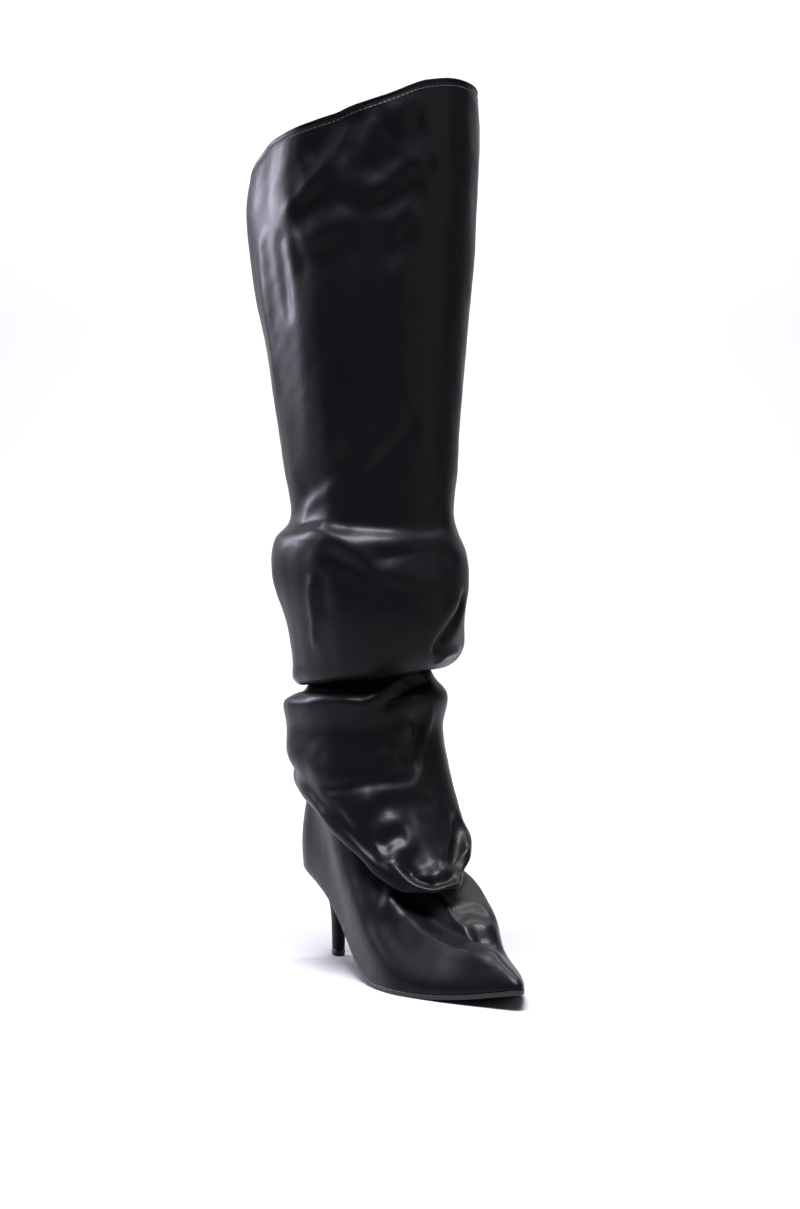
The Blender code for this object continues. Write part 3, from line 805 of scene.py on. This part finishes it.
def joined(rings, closed=False):
    """Points and faces of a stack of closed rings."""
    count, around = rings.shape[:2]
    here = np.arange(around)
    after = np.roll(here, -1)
    faces = []
    for i in range(count if closed else count - 1):
        a, b = i * around, (i + 1) % count * around
        faces.append(np.stack([a + here, a + after, b + after, b + here], axis=1))
    return rings.reshape(-1, 3), np.concatenate(faces)


def capped_fan(points, faces, rings):
    """Adds a fan over the first and the last ring of a stack."""
    count, around = rings.shape[:2]
    faces = [tuple(int(v) for v in face) for face in faces]
    for i, order in ((0, -1), (count - 1, 1)):
        middle = len(points)
        points = np.vstack([points, rings[i].mean(axis=0)])
        ends = range(i * around, (i + 1) * around)
        faces += [
            (ends[k], ends[(k + 1) % around], middle)[::order] for k in range(around)
        ]
    return points, faces


def capped_across(points, faces, rings):
    """Closes the first and the last ring with strips from side to side, where
    point k of a ring lies across from point -k."""
    count, around = rings.shape[:2]
    faces = [tuple(int(v) for v in face) for face in faces]
    half = around // 2
    for i, order in ((0, -1), (count - 1, 1)):
        at = i * around
        for k in range(half):
            left, right = (at + k, at + k + 1), (at + around - k - 1, at + (around - k) % around)
            faces.append(tuple(dict.fromkeys((*left, *right)))[::order])
    return points, faces


def add_piece(name, points, faces, finish, stands_for=(), crisp=None):
    """A mesh object that rides on the boot's body. `crisp` is the angle in degrees
    from which its edges stay sharp, 0 for none, and turns its faces outwards."""
    mesh = bpy.data.meshes.new(name)
    mesh.from_pydata(np.asarray(points).tolist(), [], [tuple(int(v) for v in f) for f in faces])
    if crisp is not None:
        work = bmesh.new()
        work.from_mesh(mesh)
        bmesh.ops.recalc_face_normals(work, faces=work.faces)
        work.to_mesh(mesh)
        work.free()
    mesh.shade_smooth()
    if crisp:
        mesh.set_sharp_from_angle(angle=math.radians(crisp))
    mesh.materials.append(finish)
    piece = bpy.data.objects.new(name, mesh)
    bpy.context.scene.collection.objects.link(piece)
    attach(piece, BODY)
    if stands_for:
        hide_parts(*stands_for)
    return piece


def add_uv(piece, across, along_piece):
    """A UV map in metres: across from a seam, and along the piece."""
    layer = piece.data.uv_layers.new(name="Metres")
    index = np.empty(len(piece.data.loops), np.int32)
    piece.data.loops.foreach_get("vertex_index", index)
    flat = np.stack([across.ravel()[index], along_piece.ravel()[index]], axis=1)
    layer.data.foreach_set("uv", flat.astype(np.float32).ravel())


def round_from_seam(rings):
    """How far round each ring its points lie from the back seam, negative on the
    inner side, and how far down they lie."""
    step = np.linalg.norm(np.roll(rings, -1, axis=1) - rings, axis=2)
    half = rings.shape[1] // 2
    forth = np.concatenate([np.zeros((len(rings), 1)), np.cumsum(step[:, :half], axis=1)], axis=1)
    back = np.cumsum(step[:, ::-1], axis=1)[:, : half - 1]
    across = np.concatenate([forth, -back[:, ::-1]], axis=1)
    down = np.linalg.norm(np.diff(rings, axis=0), axis=2)
    return across, np.concatenate([np.zeros((1, rings.shape[1])), np.cumsum(down, axis=0)])


# --- FINISHES ---------------------------------------------------------------


def linear(colour):
    """An sRGB hex colour as Blender's linear red, green, blue and alpha."""
    parts = [int(colour.lstrip("#")[k : k + 2], 16) / 255 for k in (0, 2, 4)]
    return (
        *[p / 12.92 if p <= 0.04045 else ((p + 0.055) / 1.055) ** 2.4 for p in parts],
        1.0,
    )


def add_node(tree, kind, settings=None, links=None):
    """A node with its settings, by property or input name, and its links, from an
    input's name or number to an output socket."""
    node = tree.nodes.new(kind)
    for name, value in (settings or {}).items():
        if isinstance(name, str) and hasattr(node, name):
            setattr(node, name, value)
        else:
            node.inputs[name].default_value = value
    for name, socket in (links or {}).items():
        tree.links.new(socket, node.inputs[name])
    return node


def new_finish(name, colour, roughness, settings):
    """A material with one Principled shader, its tree and that shader."""
    made = bpy.data.materials.new(name)
    made.use_nodes = True
    made.diffuse_color = linear(colour)
    tree = made.node_tree
    shader = tree.nodes["Principled BSDF"]
    shader.inputs["Base Color"].default_value = linear(colour)
    shader.inputs["Roughness"].default_value = roughness
    for key, value in settings.items():
        shader.inputs[key].default_value = value
    return made, tree, shader


def bumps(tree, shader, layers):
    """Chains bumps on a shader: each layer has its height socket, its strength
    and how deep it is in metres."""
    before = None
    for height, strength, depth in layers:
        node = add_node(
            tree,
            "ShaderNodeBump",
            {"Strength": strength, "Distance": depth},
            {"Height": height},
        )
        if before:
            tree.links.new(before, node.inputs["Normal"])
        before = node.outputs["Normal"]
    tree.links.new(before, shader.inputs["Normal"])


def per_metre(millimetres):
    """The scale that gives a pattern cells of a size."""
    return 1000 / millimetres


def for_bands(millimetres):
    """The scale that gives a wave pattern bands of a width."""
    return per_metre(millimetres) / 20 * math.pi


def faux_leather(name, colour, gloss, seam):
    """Polyurethane-coated faux leather, embossed with a fine pebble grain and
    half glossy: a soft wide sheen, and brighter where it is stretched over a fold."""
    made, tree, shader = new_finish(
        name,
        colour,
        gloss,
        {"IOR": 1.5, "Specular IOR Level": 0.08, "Coat Weight": 0.05, "Coat Roughness": 0.18},
    )
    where = add_node(tree, "ShaderNodeTexCoord").outputs["Object"]
    # Grain of about 0.9 mm: the real one is 0.5 mm, too fine to show in the render
    pebble = add_node(
        tree,
        "ShaderNodeTexVoronoi",
        {"feature": "DISTANCE_TO_EDGE", "Scale": per_metre(0.9), "Randomness": 0.9},
        {"Vector": where},
    )
    edges = add_node(
        tree,
        "ShaderNodeMapRange",
        {"From Max": 0.22},
        {"Value": pebble.outputs["Distance"]},
    )
    wavy = add_node(
        tree,
        "ShaderNodeTexNoise",
        {"Scale": per_metre(7), "Detail": 3.0, "Roughness": 0.55},
        {"Vector": where},
    )
    broad = add_node(
        tree,
        "ShaderNodeTexNoise",
        {"Scale": per_metre(38), "Detail": 2.0, "Roughness": 0.5},
        {"Vector": where},
    )
    rough = add_node(
        tree,
        "ShaderNodeMapRange",
        {"From Min": 0.3, "From Max": 0.7, "To Min": gloss - 0.04, "To Max": gloss + 0.06},
        {"Value": broad.outputs["Fac"]},
    )
    tree.links.new(rough.outputs["Result"], shader.inputs["Roughness"])
    # Mottled a little, as a coat on cloth is. Inputs 6 and 7 are a mix's two colours
    shade = add_node(
        tree,
        "ShaderNodeMix",
        {"data_type": "RGBA", 6: linear(colour), 7: linear("#0f0d10")},
        {0: wavy.outputs["Fac"]},
    )
    tree.links.new(shade.outputs[2], shader.inputs["Base Color"])
    layers = [
        (wavy.outputs["Fac"], 0.25, 0.0006),
        (edges.outputs["Result"], 0.22, 0.00012),
    ]
    if seam:
        # A groove 2.4 mm wide along the back seam, from the UV map's distance to it
        uv = add_node(tree, "ShaderNodeUVMap", {"uv_map": "Metres"})
        split = add_node(tree, "ShaderNodeSeparateXYZ", links={"Vector": uv.outputs["UV"]})
        side = add_node(
            tree, "ShaderNodeMath", {"operation": "ABSOLUTE"}, {0: split.outputs["X"]}
        )
        groove = add_node(
            tree,
            "ShaderNodeMapRange",
            {"interpolation_type": "SMOOTHSTEP", "From Min": 0.0002, "From Max": 0.0012},
            {"Value": side.outputs["Value"]},
        )
        layers.append((groove.outputs["Result"], 0.9, 0.0006))
    bumps(tree, shader, layers)
    return made


def knitted_lining(name, colour):
    """Brushed polyester knit, glued to foam: dull, with a fine nap and faint ribs."""
    made, tree, shader = new_finish(
        name, colour, 0.92, {"IOR": 1.45, "Sheen Weight": 0.35, "Sheen Roughness": 0.5}
    )
    where = add_node(tree, "ShaderNodeTexCoord").outputs["Object"]
    nap = add_node(
        tree, "ShaderNodeTexNoise", {"Scale": per_metre(1.1), "Detail": 4.0}, {"Vector": where}
    )
    loops = add_node(
        tree,
        "ShaderNodeTexVoronoi",
        {"Scale": per_metre(1.3), "Randomness": 0.35},
        {"Vector": where},
    )
    shade = add_node(
        tree,
        "ShaderNodeMix",
        {"data_type": "RGBA", 6: linear(colour), 7: linear("#2b292d")},
        {0: nap.outputs["Fac"]},
    )
    tree.links.new(shade.outputs[2], shader.inputs["Base Color"])
    bumps(
        tree,
        shader,
        [(loops.outputs["Distance"], 0.4, 0.0004), (nap.outputs["Fac"], 0.5, 0.0003)],
    )
    return made


def moulded_rubber(name, colour, roughness, pattern):
    """Moulded thermoplastic rubber: dull black, with a fine matt texture from its
    mould, and crossed fine ribs where it treads."""
    made, tree, shader = new_finish(name, colour, roughness, {"IOR": 1.52})
    where = add_node(tree, "ShaderNodeTexCoord").outputs["Object"]
    matt = add_node(
        tree, "ShaderNodeTexNoise", {"Scale": per_metre(0.8), "Detail": 3.0}, {"Vector": where}
    )
    layers = [(matt.outputs["Fac"], 0.3, 0.0002)]
    if pattern:
        # Ribs 2.4 mm apart, both ways across the sole
        for turn in (45, -45):
            turned = add_node(
                tree,
                "ShaderNodeMapping",
                {"Rotation": (0, 0, math.radians(turn))},
                {"Vector": where},
            )
            rib = add_node(
                tree,
                "ShaderNodeTexWave",
                {"wave_type": "BANDS", "bands_direction": "X", "Scale": for_bands(2.4)},
                {"Vector": turned.outputs["Vector"]},
            )
            layers.append((rib.outputs["Fac"], 0.35, 0.0003))
    worn = add_node(
        tree,
        "ShaderNodeMapRange",
        {"From Min": 0.3, "From Max": 0.7, "To Min": roughness - 0.06, "To Max": roughness + 0.1},
        {"Value": matt.outputs["Fac"]},
    )
    tree.links.new(worn.outputs["Result"], shader.inputs["Roughness"])
    bumps(tree, shader, layers)
    return made


def twisted_thread(name, colour):
    """Bonded polyester sewing thread, twisted: a dull sheen with slanted strands."""
    made, tree, shader = new_finish(name, colour, 0.5, {"IOR": 1.5})
    where = add_node(tree, "ShaderNodeTexCoord").outputs["Object"]
    strands = add_node(
        tree,
        "ShaderNodeTexWave",
        {"bands_direction": "DIAGONAL", "Scale": for_bands(0.45)},
        {"Vector": where},
    )
    bumps(tree, shader, [(strands.outputs["Fac"], 0.5, 0.0001)])
    return made


def studio_paper(name, colour):
    """Matt pale background paper: no sheen, and white where the lamps reach it."""
    made, _, _ = new_finish(name, colour, 0.9, {"IOR": 1.4, "Specular IOR Level": 0.1})
    return made


# --- SETTINGS ---------------------------------------------------------------


class BootSizes(bpy.types.PropertyGroup):
    """Sizes of what is built on the solids"""

    crease_strength: bpy.props.FloatProperty(
        name="Creases", description="How strongly the leather is creased", default=1.0, min=0, max=2
    )
    edge_thickness: bpy.props.FloatProperty(
        name="Turned edge", description="Thickness of the leather folded over at the collar",
        default=0.0024, unit="LENGTH",
    )
    hem_depth: bpy.props.FloatProperty(
        name="Hem", description="How far the leather goes down inside the collar",
        default=0.013, unit="LENGTH",
    )
    stitch_row: bpy.props.FloatProperty(
        name="Stitch row", description="From the collar's edge down to the stitches",
        default=0.0036, unit="LENGTH",
    )
    stitch_pitch: bpy.props.FloatProperty(
        name="Stitch pitch", description="From one stitch to the next", default=0.0031,
        unit="LENGTH",
    )
    thread: bpy.props.FloatProperty(
        name="Thread", description="Thickness of the sewing thread", default=0.0005, unit="LENGTH"
    )
    edge_roll: bpy.props.FloatProperty(
        name="Rolled edge", description="How far the edge rolls in above the stitches",
        default=0.0012, unit="LENGTH",
    )
    lining_thickness: bpy.props.FloatProperty(
        name="Leather", description="From the leather's face to the lining's", default=0.0017,
        unit="LENGTH",
    )
    edge_round: bpy.props.FloatProperty(
        name="Rounding", description="Radius along the edges of sole and insole",
        default=0.0006, unit="LENGTH",
    )


class BootColours(bpy.types.PropertyGroup):
    """Colours of the boot, as sRGB hex"""

    leather: bpy.props.StringProperty(name="Leather", description="Faux leather", default="#09080a")
    lining: bpy.props.StringProperty(name="Lining", description="Knitted lining", default="#1a181b")
    sole: bpy.props.StringProperty(name="Sole", description="Sole rubber", default="#0f0e10")
    tip: bpy.props.StringProperty(name="Heel tip", description="Heel tip", default="#0c0c0d")
    insole: bpy.props.StringProperty(name="Insole", description="Insole cover", default="#19171a")
    thread: bpy.props.StringProperty(name="Thread", description="Sewing thread", default="#353338")
    paper: bpy.props.StringProperty(name="Floor", description="Background paper", default="#a09fa3")
    gloss: bpy.props.FloatProperty(
        name="Gloss", description="Roughness of the leather's face", default=0.37, min=0, max=1,
        subtype="FACTOR",
    )


class StudioSettings(bpy.types.PropertyGroup):
    """Where the camera stands and how bright the lamps are"""

    camera_angle: bpy.props.FloatProperty(
        name="Angle", description="Which way the camera looks, turned from +Y towards +X",
        default=math.radians(28.584), subtype="ANGLE",
    )
    camera_spot: bpy.props.FloatVectorProperty(
        name="Camera", description="Where the camera stands", size=3,
        default=(-0.64044, -1.25843, 0.22633), subtype="TRANSLATION", unit="LENGTH",
    )
    lens: bpy.props.FloatProperty(
        name="Lens", description="Focal length in millimetres on a 36 mm frame", default=65.1
    )
    brightness: bpy.props.FloatProperty(
        name="Brightness", description="Strength of all the lamps", default=1.0, min=0
    )


def settings():
    """The scene's sizes, colours and studio settings."""
    scene = bpy.context.scene
    return scene.boot_sizes, scene.boot_colours, scene.boot_studio


# --- PIECES -----------------------------------------------------------------


def hem_rows(face, depth):
    """How many of the face's rings lie within a depth of the collar."""
    down = np.cumsum(np.linalg.norm(np.diff(face, axis=0), axis=2), axis=0).mean(axis=1)
    return max(2, int(np.searchsorted(down, depth)) + 1)


RIM_TURN = (144, 108, 72, 36)   # angles round the collar's turned edge
RIM_HEIGHT = 0.55               # of that edge, in its thicknesses
TUCKED_IN = 0.6                 # how far the hem's end goes in, in thicknesses
STITCH_DIP = (0.35, 0.0011)     # millimetres deep, and how wide along the leather


class BOOT_OT_upper(bpy.types.Operator):
    """Builds the leather of the upper, from its turned edge at the collar down to
    the edge turned in under the foot"""

    bl_idname = "boot.upper"
    bl_label = "Upper"

    def execute(self, context):
        sizes, colours, _ = settings()
        face, _ = leather_face(sizes.crease_strength)
        way = outward(face)
        thick = sizes.edge_thickness
        rows = hem_rows(face, sizes.hem_depth)
        inside = (face - way * thick)[:rows][::-1]
        tuck = inside[:1] + way[rows - 1 : rows] * thick * TUCKED_IN
        up = face[0] - face[1]
        up /= np.linalg.norm(up, axis=1)[:, None]
        rim = [
            face[0]
            - way[0] * thick * (1 - math.cos(t)) / 2
            + up * thick * RIM_HEIGHT * math.sin(t)
            for t in np.radians(RIM_TURN)
        ]
        # The leather puffs out a little between the edge and the stitches
        run = np.concatenate(
            [[0], np.cumsum(np.linalg.norm(np.diff(face, axis=0), axis=2).mean(axis=1))]
        )
        deep, wide = STITCH_DIP
        dip = deep * MM * np.exp(-(((run - sizes.stitch_row) / wide) ** 2))
        dip += sizes.edge_roll * np.clip(1 - run / sizes.stitch_row, 0, 1) ** 2
        face = face - way * dip[:, None, None]
        edge = sole_edge()
        turned = [
            place(*drawn_in(edge, d).T, sole_top(drawn_in(edge, d)[:, 1]) + SEAM_GAP)
            for d in (LASTING_MARGIN / 2, LASTING_MARGIN)
        ]
        rings = np.concatenate([tuck, inside, np.stack(rim), face, np.stack(turned)])
        points, faces = joined(rings)
        leather = faux_leather("PU faux leather, embossed", colours.leather, colours.gloss, True)
        piece = add_piece("upper_leather", points, faces, leather, ("upper",))
        add_uv(piece, *round_from_seam(rings))
        return {"FINISHED"}


class BOOT_OT_lining(bpy.types.Operator):
    """Builds the lining behind the leather, down to the insole"""

    bl_idname = "boot.lining"
    bl_label = "Lining"

    def execute(self, context):
        sizes, colours, _ = settings()
        face, numbers = leather_face(sizes.crease_strength)
        rows = hem_rows(face, sizes.hem_depth)
        inner = (face - outward(face) * sizes.lining_thickness)[max(1, rows - 3) :][::2]
        edge = sole_edge()
        turned = [
            place(*drawn_in(edge, d).T, sole_top(drawn_in(edge, d)[:, 1]) + SEAM_GAP + WALL)
            for d in (WALL, LASTING_MARGIN)
        ]
        rings = np.concatenate([inner[:-1], np.stack(turned)])[:, ::2]
        points, faces = joined(rings)
        knit = knitted_lining("Polyester knit, brushed", colours.lining)
        add_piece("lining", points, faces[:, ::-1], knit)
        return {"FINISHED"}


STITCH_SHARE = 0.78     # of the pitch that a stitch takes up
STITCH_SUNK = 0.30      # millimetres into the leather


def capsule(length, radius):
    """Points and faces of a stitch that lies along X, a little flattened."""
    around, shares = 8, np.radians([12, 45, 90, 135, 168])
    turn = np.linspace(0, 2 * math.pi, around, endpoint=False)
    rings = []
    for t in shares:
        x = -math.cos(t) * length / 2
        r = radius * math.sin(t) ** 0.6
        rings.append(np.stack([0 * turn + x, r * np.cos(turn), r * np.sin(turn)], axis=1))
    rings = np.stack(rings)
    return capped_fan(*joined(rings), rings)


class BOOT_OT_stitches(bpy.types.Operator):
    """Sews the row of stitches that holds the collar's turned edge"""

    bl_idname = "boot.stitches"
    bl_label = "Collar stitches"

    def execute(self, context):
        sizes, colours, _ = settings()
        face, _ = leather_face(sizes.crease_strength)
        way = outward(face)
        run = np.cumsum(np.linalg.norm(np.diff(face, axis=0), axis=2), axis=0)
        rings = np.arange(1, len(face))
        share = np.array(
            [np.interp(sizes.stitch_row, run[:, k], rings) for k in range(ROUND_STEPS)]
        )
        low = np.floor(share).astype(int)
        mix = (share - low)[:, None]
        k = np.arange(ROUND_STEPS)
        line = face[low, k] * (1 - mix) + face[low + 1, k] * mix
        facing = way[low, k]
        loop = np.vstack([line, line[:1]])
        round_run = np.concatenate([[0], np.cumsum(np.linalg.norm(np.diff(loop, axis=0), axis=1))])
        count = int(round(round_run[-1] / sizes.stitch_pitch))
        at = (np.arange(count) + 0.5) / count * round_run[-1]
        spots = np.stack([np.interp(at, round_run, axis) for axis in loop.T], axis=1)
        looks = np.stack(
            [np.interp(at, round_run, axis) for axis in np.vstack([facing, facing[:1]]).T], axis=1
        )
        looks /= np.linalg.norm(looks, axis=1)[:, None]
        step = np.roll(spots, -1, axis=0) - np.roll(spots, 1, axis=0)
        step /= np.linalg.norm(step, axis=1)[:, None]
        side = np.cross(looks, step)
        shape, shape_faces = capsule(sizes.stitch_pitch * STITCH_SHARE, sizes.thread / 2)
        points, faces = [], []
        for spot, along_row, out, across in zip(spots, step, looks, side):
            base = spot - out * STITCH_SUNK * MM
            faces += [tuple(v + len(points) * len(shape) for v in face) for face in shape_faces]
            points.append(base + shape @ np.stack([along_row, across, out]))
        thread = twisted_thread("Polyester thread, twisted", colours.thread)
        points = np.concatenate(points)
        add_piece("collar_stitches", points, faces, thread, crisp=0)
        return {"FINISHED"}


BOARD_EDGE = (
    # inwards, on the upper side, lift: in roundings
    (4.0, 0, 0.0),
    (1.0, 0, 0.0),
    (0.3, 0, 0.28),
    (0.0, 0, 1.0),
    (0.0, 1, -1.0),
    (0.3, 1, -0.28),
    (1.0, 1, 0.0),
    (4.0, 1, 0.0),
)


def board_rings(line, under, top, rounding):
    """Rings of a thin board with rounded edges, from the middle of its underside
    round its edge to the middle of its top."""
    rings = []
    for inwards, upper_side, lift in BOARD_EDGE:
        edge = drawn_in(line, inwards * rounding)
        level = (top if upper_side else under)(edge[:, 1])
        rings.append(place(edge[:, 0], edge[:, 1], level + lift * rounding))
    return np.stack(rings)


class BOOT_OT_sole(bpy.types.Operator):
    """Builds the sole, with softened edges"""

    bl_idname = "boot.sole"
    bl_label = "Sole"

    def execute(self, context):
        sizes, colours, _ = settings()
        rings = board_rings(sole_edge(), sole_under, sole_top, sizes.edge_round)
        points, faces = capped_across(*joined(rings), rings)
        rubber = moulded_rubber("Thermoplastic rubber, moulded", colours.sole, 0.5, True)
        add_piece("sole", points, faces, rubber, ("outsole",), crisp=50)
        return {"FINISHED"}


CLEAR_OF_LINING = 0.0001


class BOOT_OT_insole(bpy.types.Operator):
    """Builds the insole over the turned-in edge of the upper"""

    bl_idname = "boot.insole"
    bl_label = "Insole"

    def execute(self, context):
        sizes, colours, _ = settings()
        edge = sole_edge()
        start, end = INSOLE_TOE
        lean = np.clip((edge[:, 1] / LENGTH - start) / (end - start), 0, 1)
        line = drawn_in(edge, WALL + INSOLE_EASE * (1 + 2 * lean))

        def under(station):
            return sole_top(station) + WALL + 2 * SEAM_GAP + CLEAR_OF_LINING

        def top(station):
            return under(station) + INSOLE_THICKNESS

        rings = board_rings(line, under, top, sizes.edge_round)
        points, faces = capped_across(*joined(rings), rings)
        cover = faux_leather("PU sock lining, matt", colours.insole, 0.55, False)
        add_piece("insole_board", points, faces, cover, ("insole",), crisp=50)
        return {"FINISHED"}


HEEL_AROUND = 96
HEEL_RINGS = 56
HEEL_FOOT = 0.93        # the cover's end, drawn in by this share over the tip
TIP_EDGE = (
    # outwards, height
    (-0.0006, 0.0),
    (0.0, 0.0005),
    (TIP_PROUD, 0.0016),
    (TIP_PROUD, TIP_THICKNESS - 0.0004),
    (-0.0002, TIP_THICKNESS),
)


def tip_outline(around, grow):
    """The heel tip from above, grown outwards by a distance."""
    turn = np.linspace(0, 2 * math.pi, around, endpoint=False)
    full = rounded(np.sin(turn), np.cos(turn), "tip")
    across = -(TIP_WIDTH / 2 + grow) * np.sin(turn) * full
    lengthwise = -(TIP_LENGTH / 2 + grow) * np.cos(turn) * full
    return np.stack([across, HEEL_SET + lengthwise], axis=-1)


def seat_outline(around):
    """The heel's top from above: the sole's edge round the back, and the breast."""
    outer, inner = (line[line[:, 1] < SEAT_LENGTH] for line in fine_edge())
    corners = [line[-1:] for line in (outer, inner)]
    breast = corners[0] + (corners[1] - corners[0]) * np.linspace(0, 1, 9)[1:-1, None]
    loop = np.vstack([outer, breast, inner[::-1]])
    shares = np.linspace(0, 1, around, endpoint=False)
    return drawn_in(by_length(loop, shares), SEAM_GAP)


class BOOT_OT_heel(bpy.types.Operator):
    """Builds the heel and its tip"""

    bl_idname = "boot.heel"
    bl_label = "Heel and tip"

    def execute(self, context):
        sizes, colours, _ = settings()
        seat, tip = seat_outline(HEEL_AROUND), tip_outline(HEEL_AROUND, 0)
        start = TIP_THICKNESS + SEAM_GAP
        station = HEEL_SET + (tip[:, 1] - HEEL_SET) * HEEL_FOOT
        rings = [place(tip[:, 0] * HEEL_FOOT, station, start)]
        for share in np.concatenate([[0.006], np.linspace(0.02, 1, HEEL_RINGS)]):
            grown = float(through(HEEL, 1, share))
            line = tip + (seat - tip) * grown
            rise = (sole_under(line[:, 1]) - SEAM_GAP - start) * share
            rings.append(place(line[:, 0], line[:, 1], start + rise))
        rings = np.stack(rings)
        points, faces = capped_fan(*joined(rings), rings)
        cover = faux_leather("PU heel cover, smooth", colours.leather, colours.gloss, False)
        add_piece("heel_cover", points, faces, cover, ("heel",), crisp=50)
        rings = []
        for grow, height in TIP_EDGE:
            line = tip_outline(HEEL_AROUND, grow)
            rings.append(place(line[:, 0], line[:, 1], height))
        rings = np.stack(rings)
        points, faces = capped_fan(*joined(rings), rings)
        rubber = moulded_rubber("Polyurethane heel tip, moulded", colours.tip, 0.55, False)
        add_piece("heel_tip", points, faces, rubber, ("top_piece",), crisp=50)
        return {"FINISHED"}


# --- STAGE ------------------------------------------------------------------

PAPER_NEAR = -3.0       # where the paper starts, along the way the camera looks
PAPER_BEND = 2.2        # where it starts to curve up
PAPER_CURVE = 0.8
PAPER_TOP = 4.2
PAPER_HALF = 4.0
BOOT_MIDDLE = (-0.07, 0.26)     # the boot's middle: along Y, and up
WASH_SPOT = (2.4, 0, 0.9)       # where the lamp on the paper looks
WORLD_COLOUR, WORLD_STRENGTH = "#dcd8e6", 0.14
SENSOR = 36
LAMPS = (
    # lamp, away, side, height, wide, tall, watts, colour
    ("overhead box", -0.40, -0.10, 1.70, 0.9, 0.7, 92, "#faf8ff"),
    ("left box", 0.68, -1.22, 0.72, 0.25, 0.5, 18, "#efe9ff"),
    ("right box", -0.60, 1.50, 0.70, 0.9, 1.2, 3, "#ffffff"),
    ("paper wash", 1.10, 0.00, 2.30, 3.0, 0.6, 210, "#ffffff"),
)


def add_lamp(name, spot, aim, size, power, colour):
    """A soft rectangular lamp that looks at a point."""
    data = bpy.data.lights.new(name, "AREA")
    data.shape = "RECTANGLE"
    data.size, data.size_y = size
    data.energy = power
    data.color = linear(colour)[:3]
    lamp = bpy.data.objects.new(name, data)
    bpy.context.scene.collection.objects.link(lamp)
    way = np.array(aim, float) - np.array(spot, float)
    flat = math.hypot(way[0], way[1])
    lamp.location = spot
    lamp.rotation_euler = (math.atan2(flat, -way[2]), 0, math.atan2(-way[0], way[1]))


class BOOT_OT_stage(bpy.types.Operator):
    """Lays the pale floor, and sets up the lamps and the camera"""

    bl_idname = "boot.stage"
    bl_label = "Studio"

    def execute(self, context):
        _, colours, studio = settings()
        angle = studio.camera_angle

        def spot(away, side, height, along=0.0):
            return (
                away * math.sin(angle) + side * math.cos(angle),
                along + away * math.cos(angle) - side * math.sin(angle),
                height,
            )

        # Paper that runs along the floor and curves up behind the boot
        profile = [(PAPER_NEAR, 0.0), (PAPER_BEND, 0.0)]
        profile += [
            (PAPER_BEND + PAPER_CURVE * math.sin(t), PAPER_CURVE - PAPER_CURVE * math.cos(t))
            for t in np.radians(range(6, 91, 6))
        ]
        profile.append((PAPER_BEND + PAPER_CURVE, PAPER_TOP))
        sides = (-PAPER_HALF, PAPER_HALF)
        points = [spot(away, side, height) for away, height in profile for side in sides]
        faces = [(k, k + 1, k + 3, k + 2) for k in range(0, 2 * len(profile) - 2, 2)]
        mesh = bpy.data.meshes.new("paper")
        mesh.from_pydata(points, [], faces)
        mesh.shade_smooth()
        mesh.materials.append(studio_paper("Background paper, matt", colours.paper))
        paper = bpy.data.objects.new("paper", mesh)
        context.scene.collection.objects.link(paper)

        middle, up = BOOT_MIDDLE
        for name, away, side, height, wide, tall, watts, colour in LAMPS:
            aim = spot(*(WASH_SPOT if name == "paper wash" else (0, 0, up)), middle)
            where = spot(away, side, height, middle)
            add_lamp(name, where, aim, (wide, tall), watts * studio.brightness, colour)
        world = bpy.data.worlds.new("studio")
        world.use_nodes = True
        room = world.node_tree.nodes["Background"].inputs
        room["Color"].default_value = linear(WORLD_COLOUR)
        room["Strength"].default_value = WORLD_STRENGTH
        context.scene.world = world
        context.scene.view_settings.view_transform = "Standard"
        data = bpy.data.cameras.new("camera")
        data.lens = studio.lens
        data.sensor_width = SENSOR
        camera = bpy.data.objects.new("camera", data)
        camera.location = studio.camera_spot
        camera.rotation_euler = (math.radians(90), 0, -angle)
        context.scene.collection.objects.link(camera)
        context.scene.camera = camera
        return {"FINISHED"}


OPERATORS = (
    BOOT_OT_stage,
    BOOT_OT_upper,
    BOOT_OT_lining,
    BOOT_OT_stitches,
    BOOT_OT_sole,
    BOOT_OT_insole,
    BOOT_OT_heel,
)


class BOOT_PT_panel(bpy.types.Panel):
    """Lists the boot's pieces and settings"""

    bl_idname = "BOOT_PT_panel"
    bl_label = "Slouch boot"
    bl_space_type = "VIEW_3D"
    bl_region_type = "UI"
    bl_category = "Boot"

    def draw(self, context):
        for operator in OPERATORS:
            self.layout.operator(operator.bl_idname)
        for group in settings():
            box = self.layout.box()
            for name in group.__annotations__:
                box.prop(group, name)


GROUPS = {"boot_sizes": BootSizes, "boot_colours": BootColours, "boot_studio": StudioSettings}


def register():
    for made in (*GROUPS.values(), *OPERATORS, BOOT_PT_panel):
        bpy.utils.register_class(made)
    for name, group in GROUPS.items():
        setattr(bpy.types.Scene, name, bpy.props.PointerProperty(type=group))


def unregister():
    for name in GROUPS:
        delattr(bpy.types.Scene, name)
    for made in reversed((*GROUPS.values(), *OPERATORS, BOOT_PT_panel)):
        bpy.utils.unregister_class(made)


def main():
    register()
    for operator in OPERATORS:
        group, name = operator.bl_idname.split(".")
        getattr(getattr(bpy.ops, group), name)()


if __name__ == "__main__":
    main()
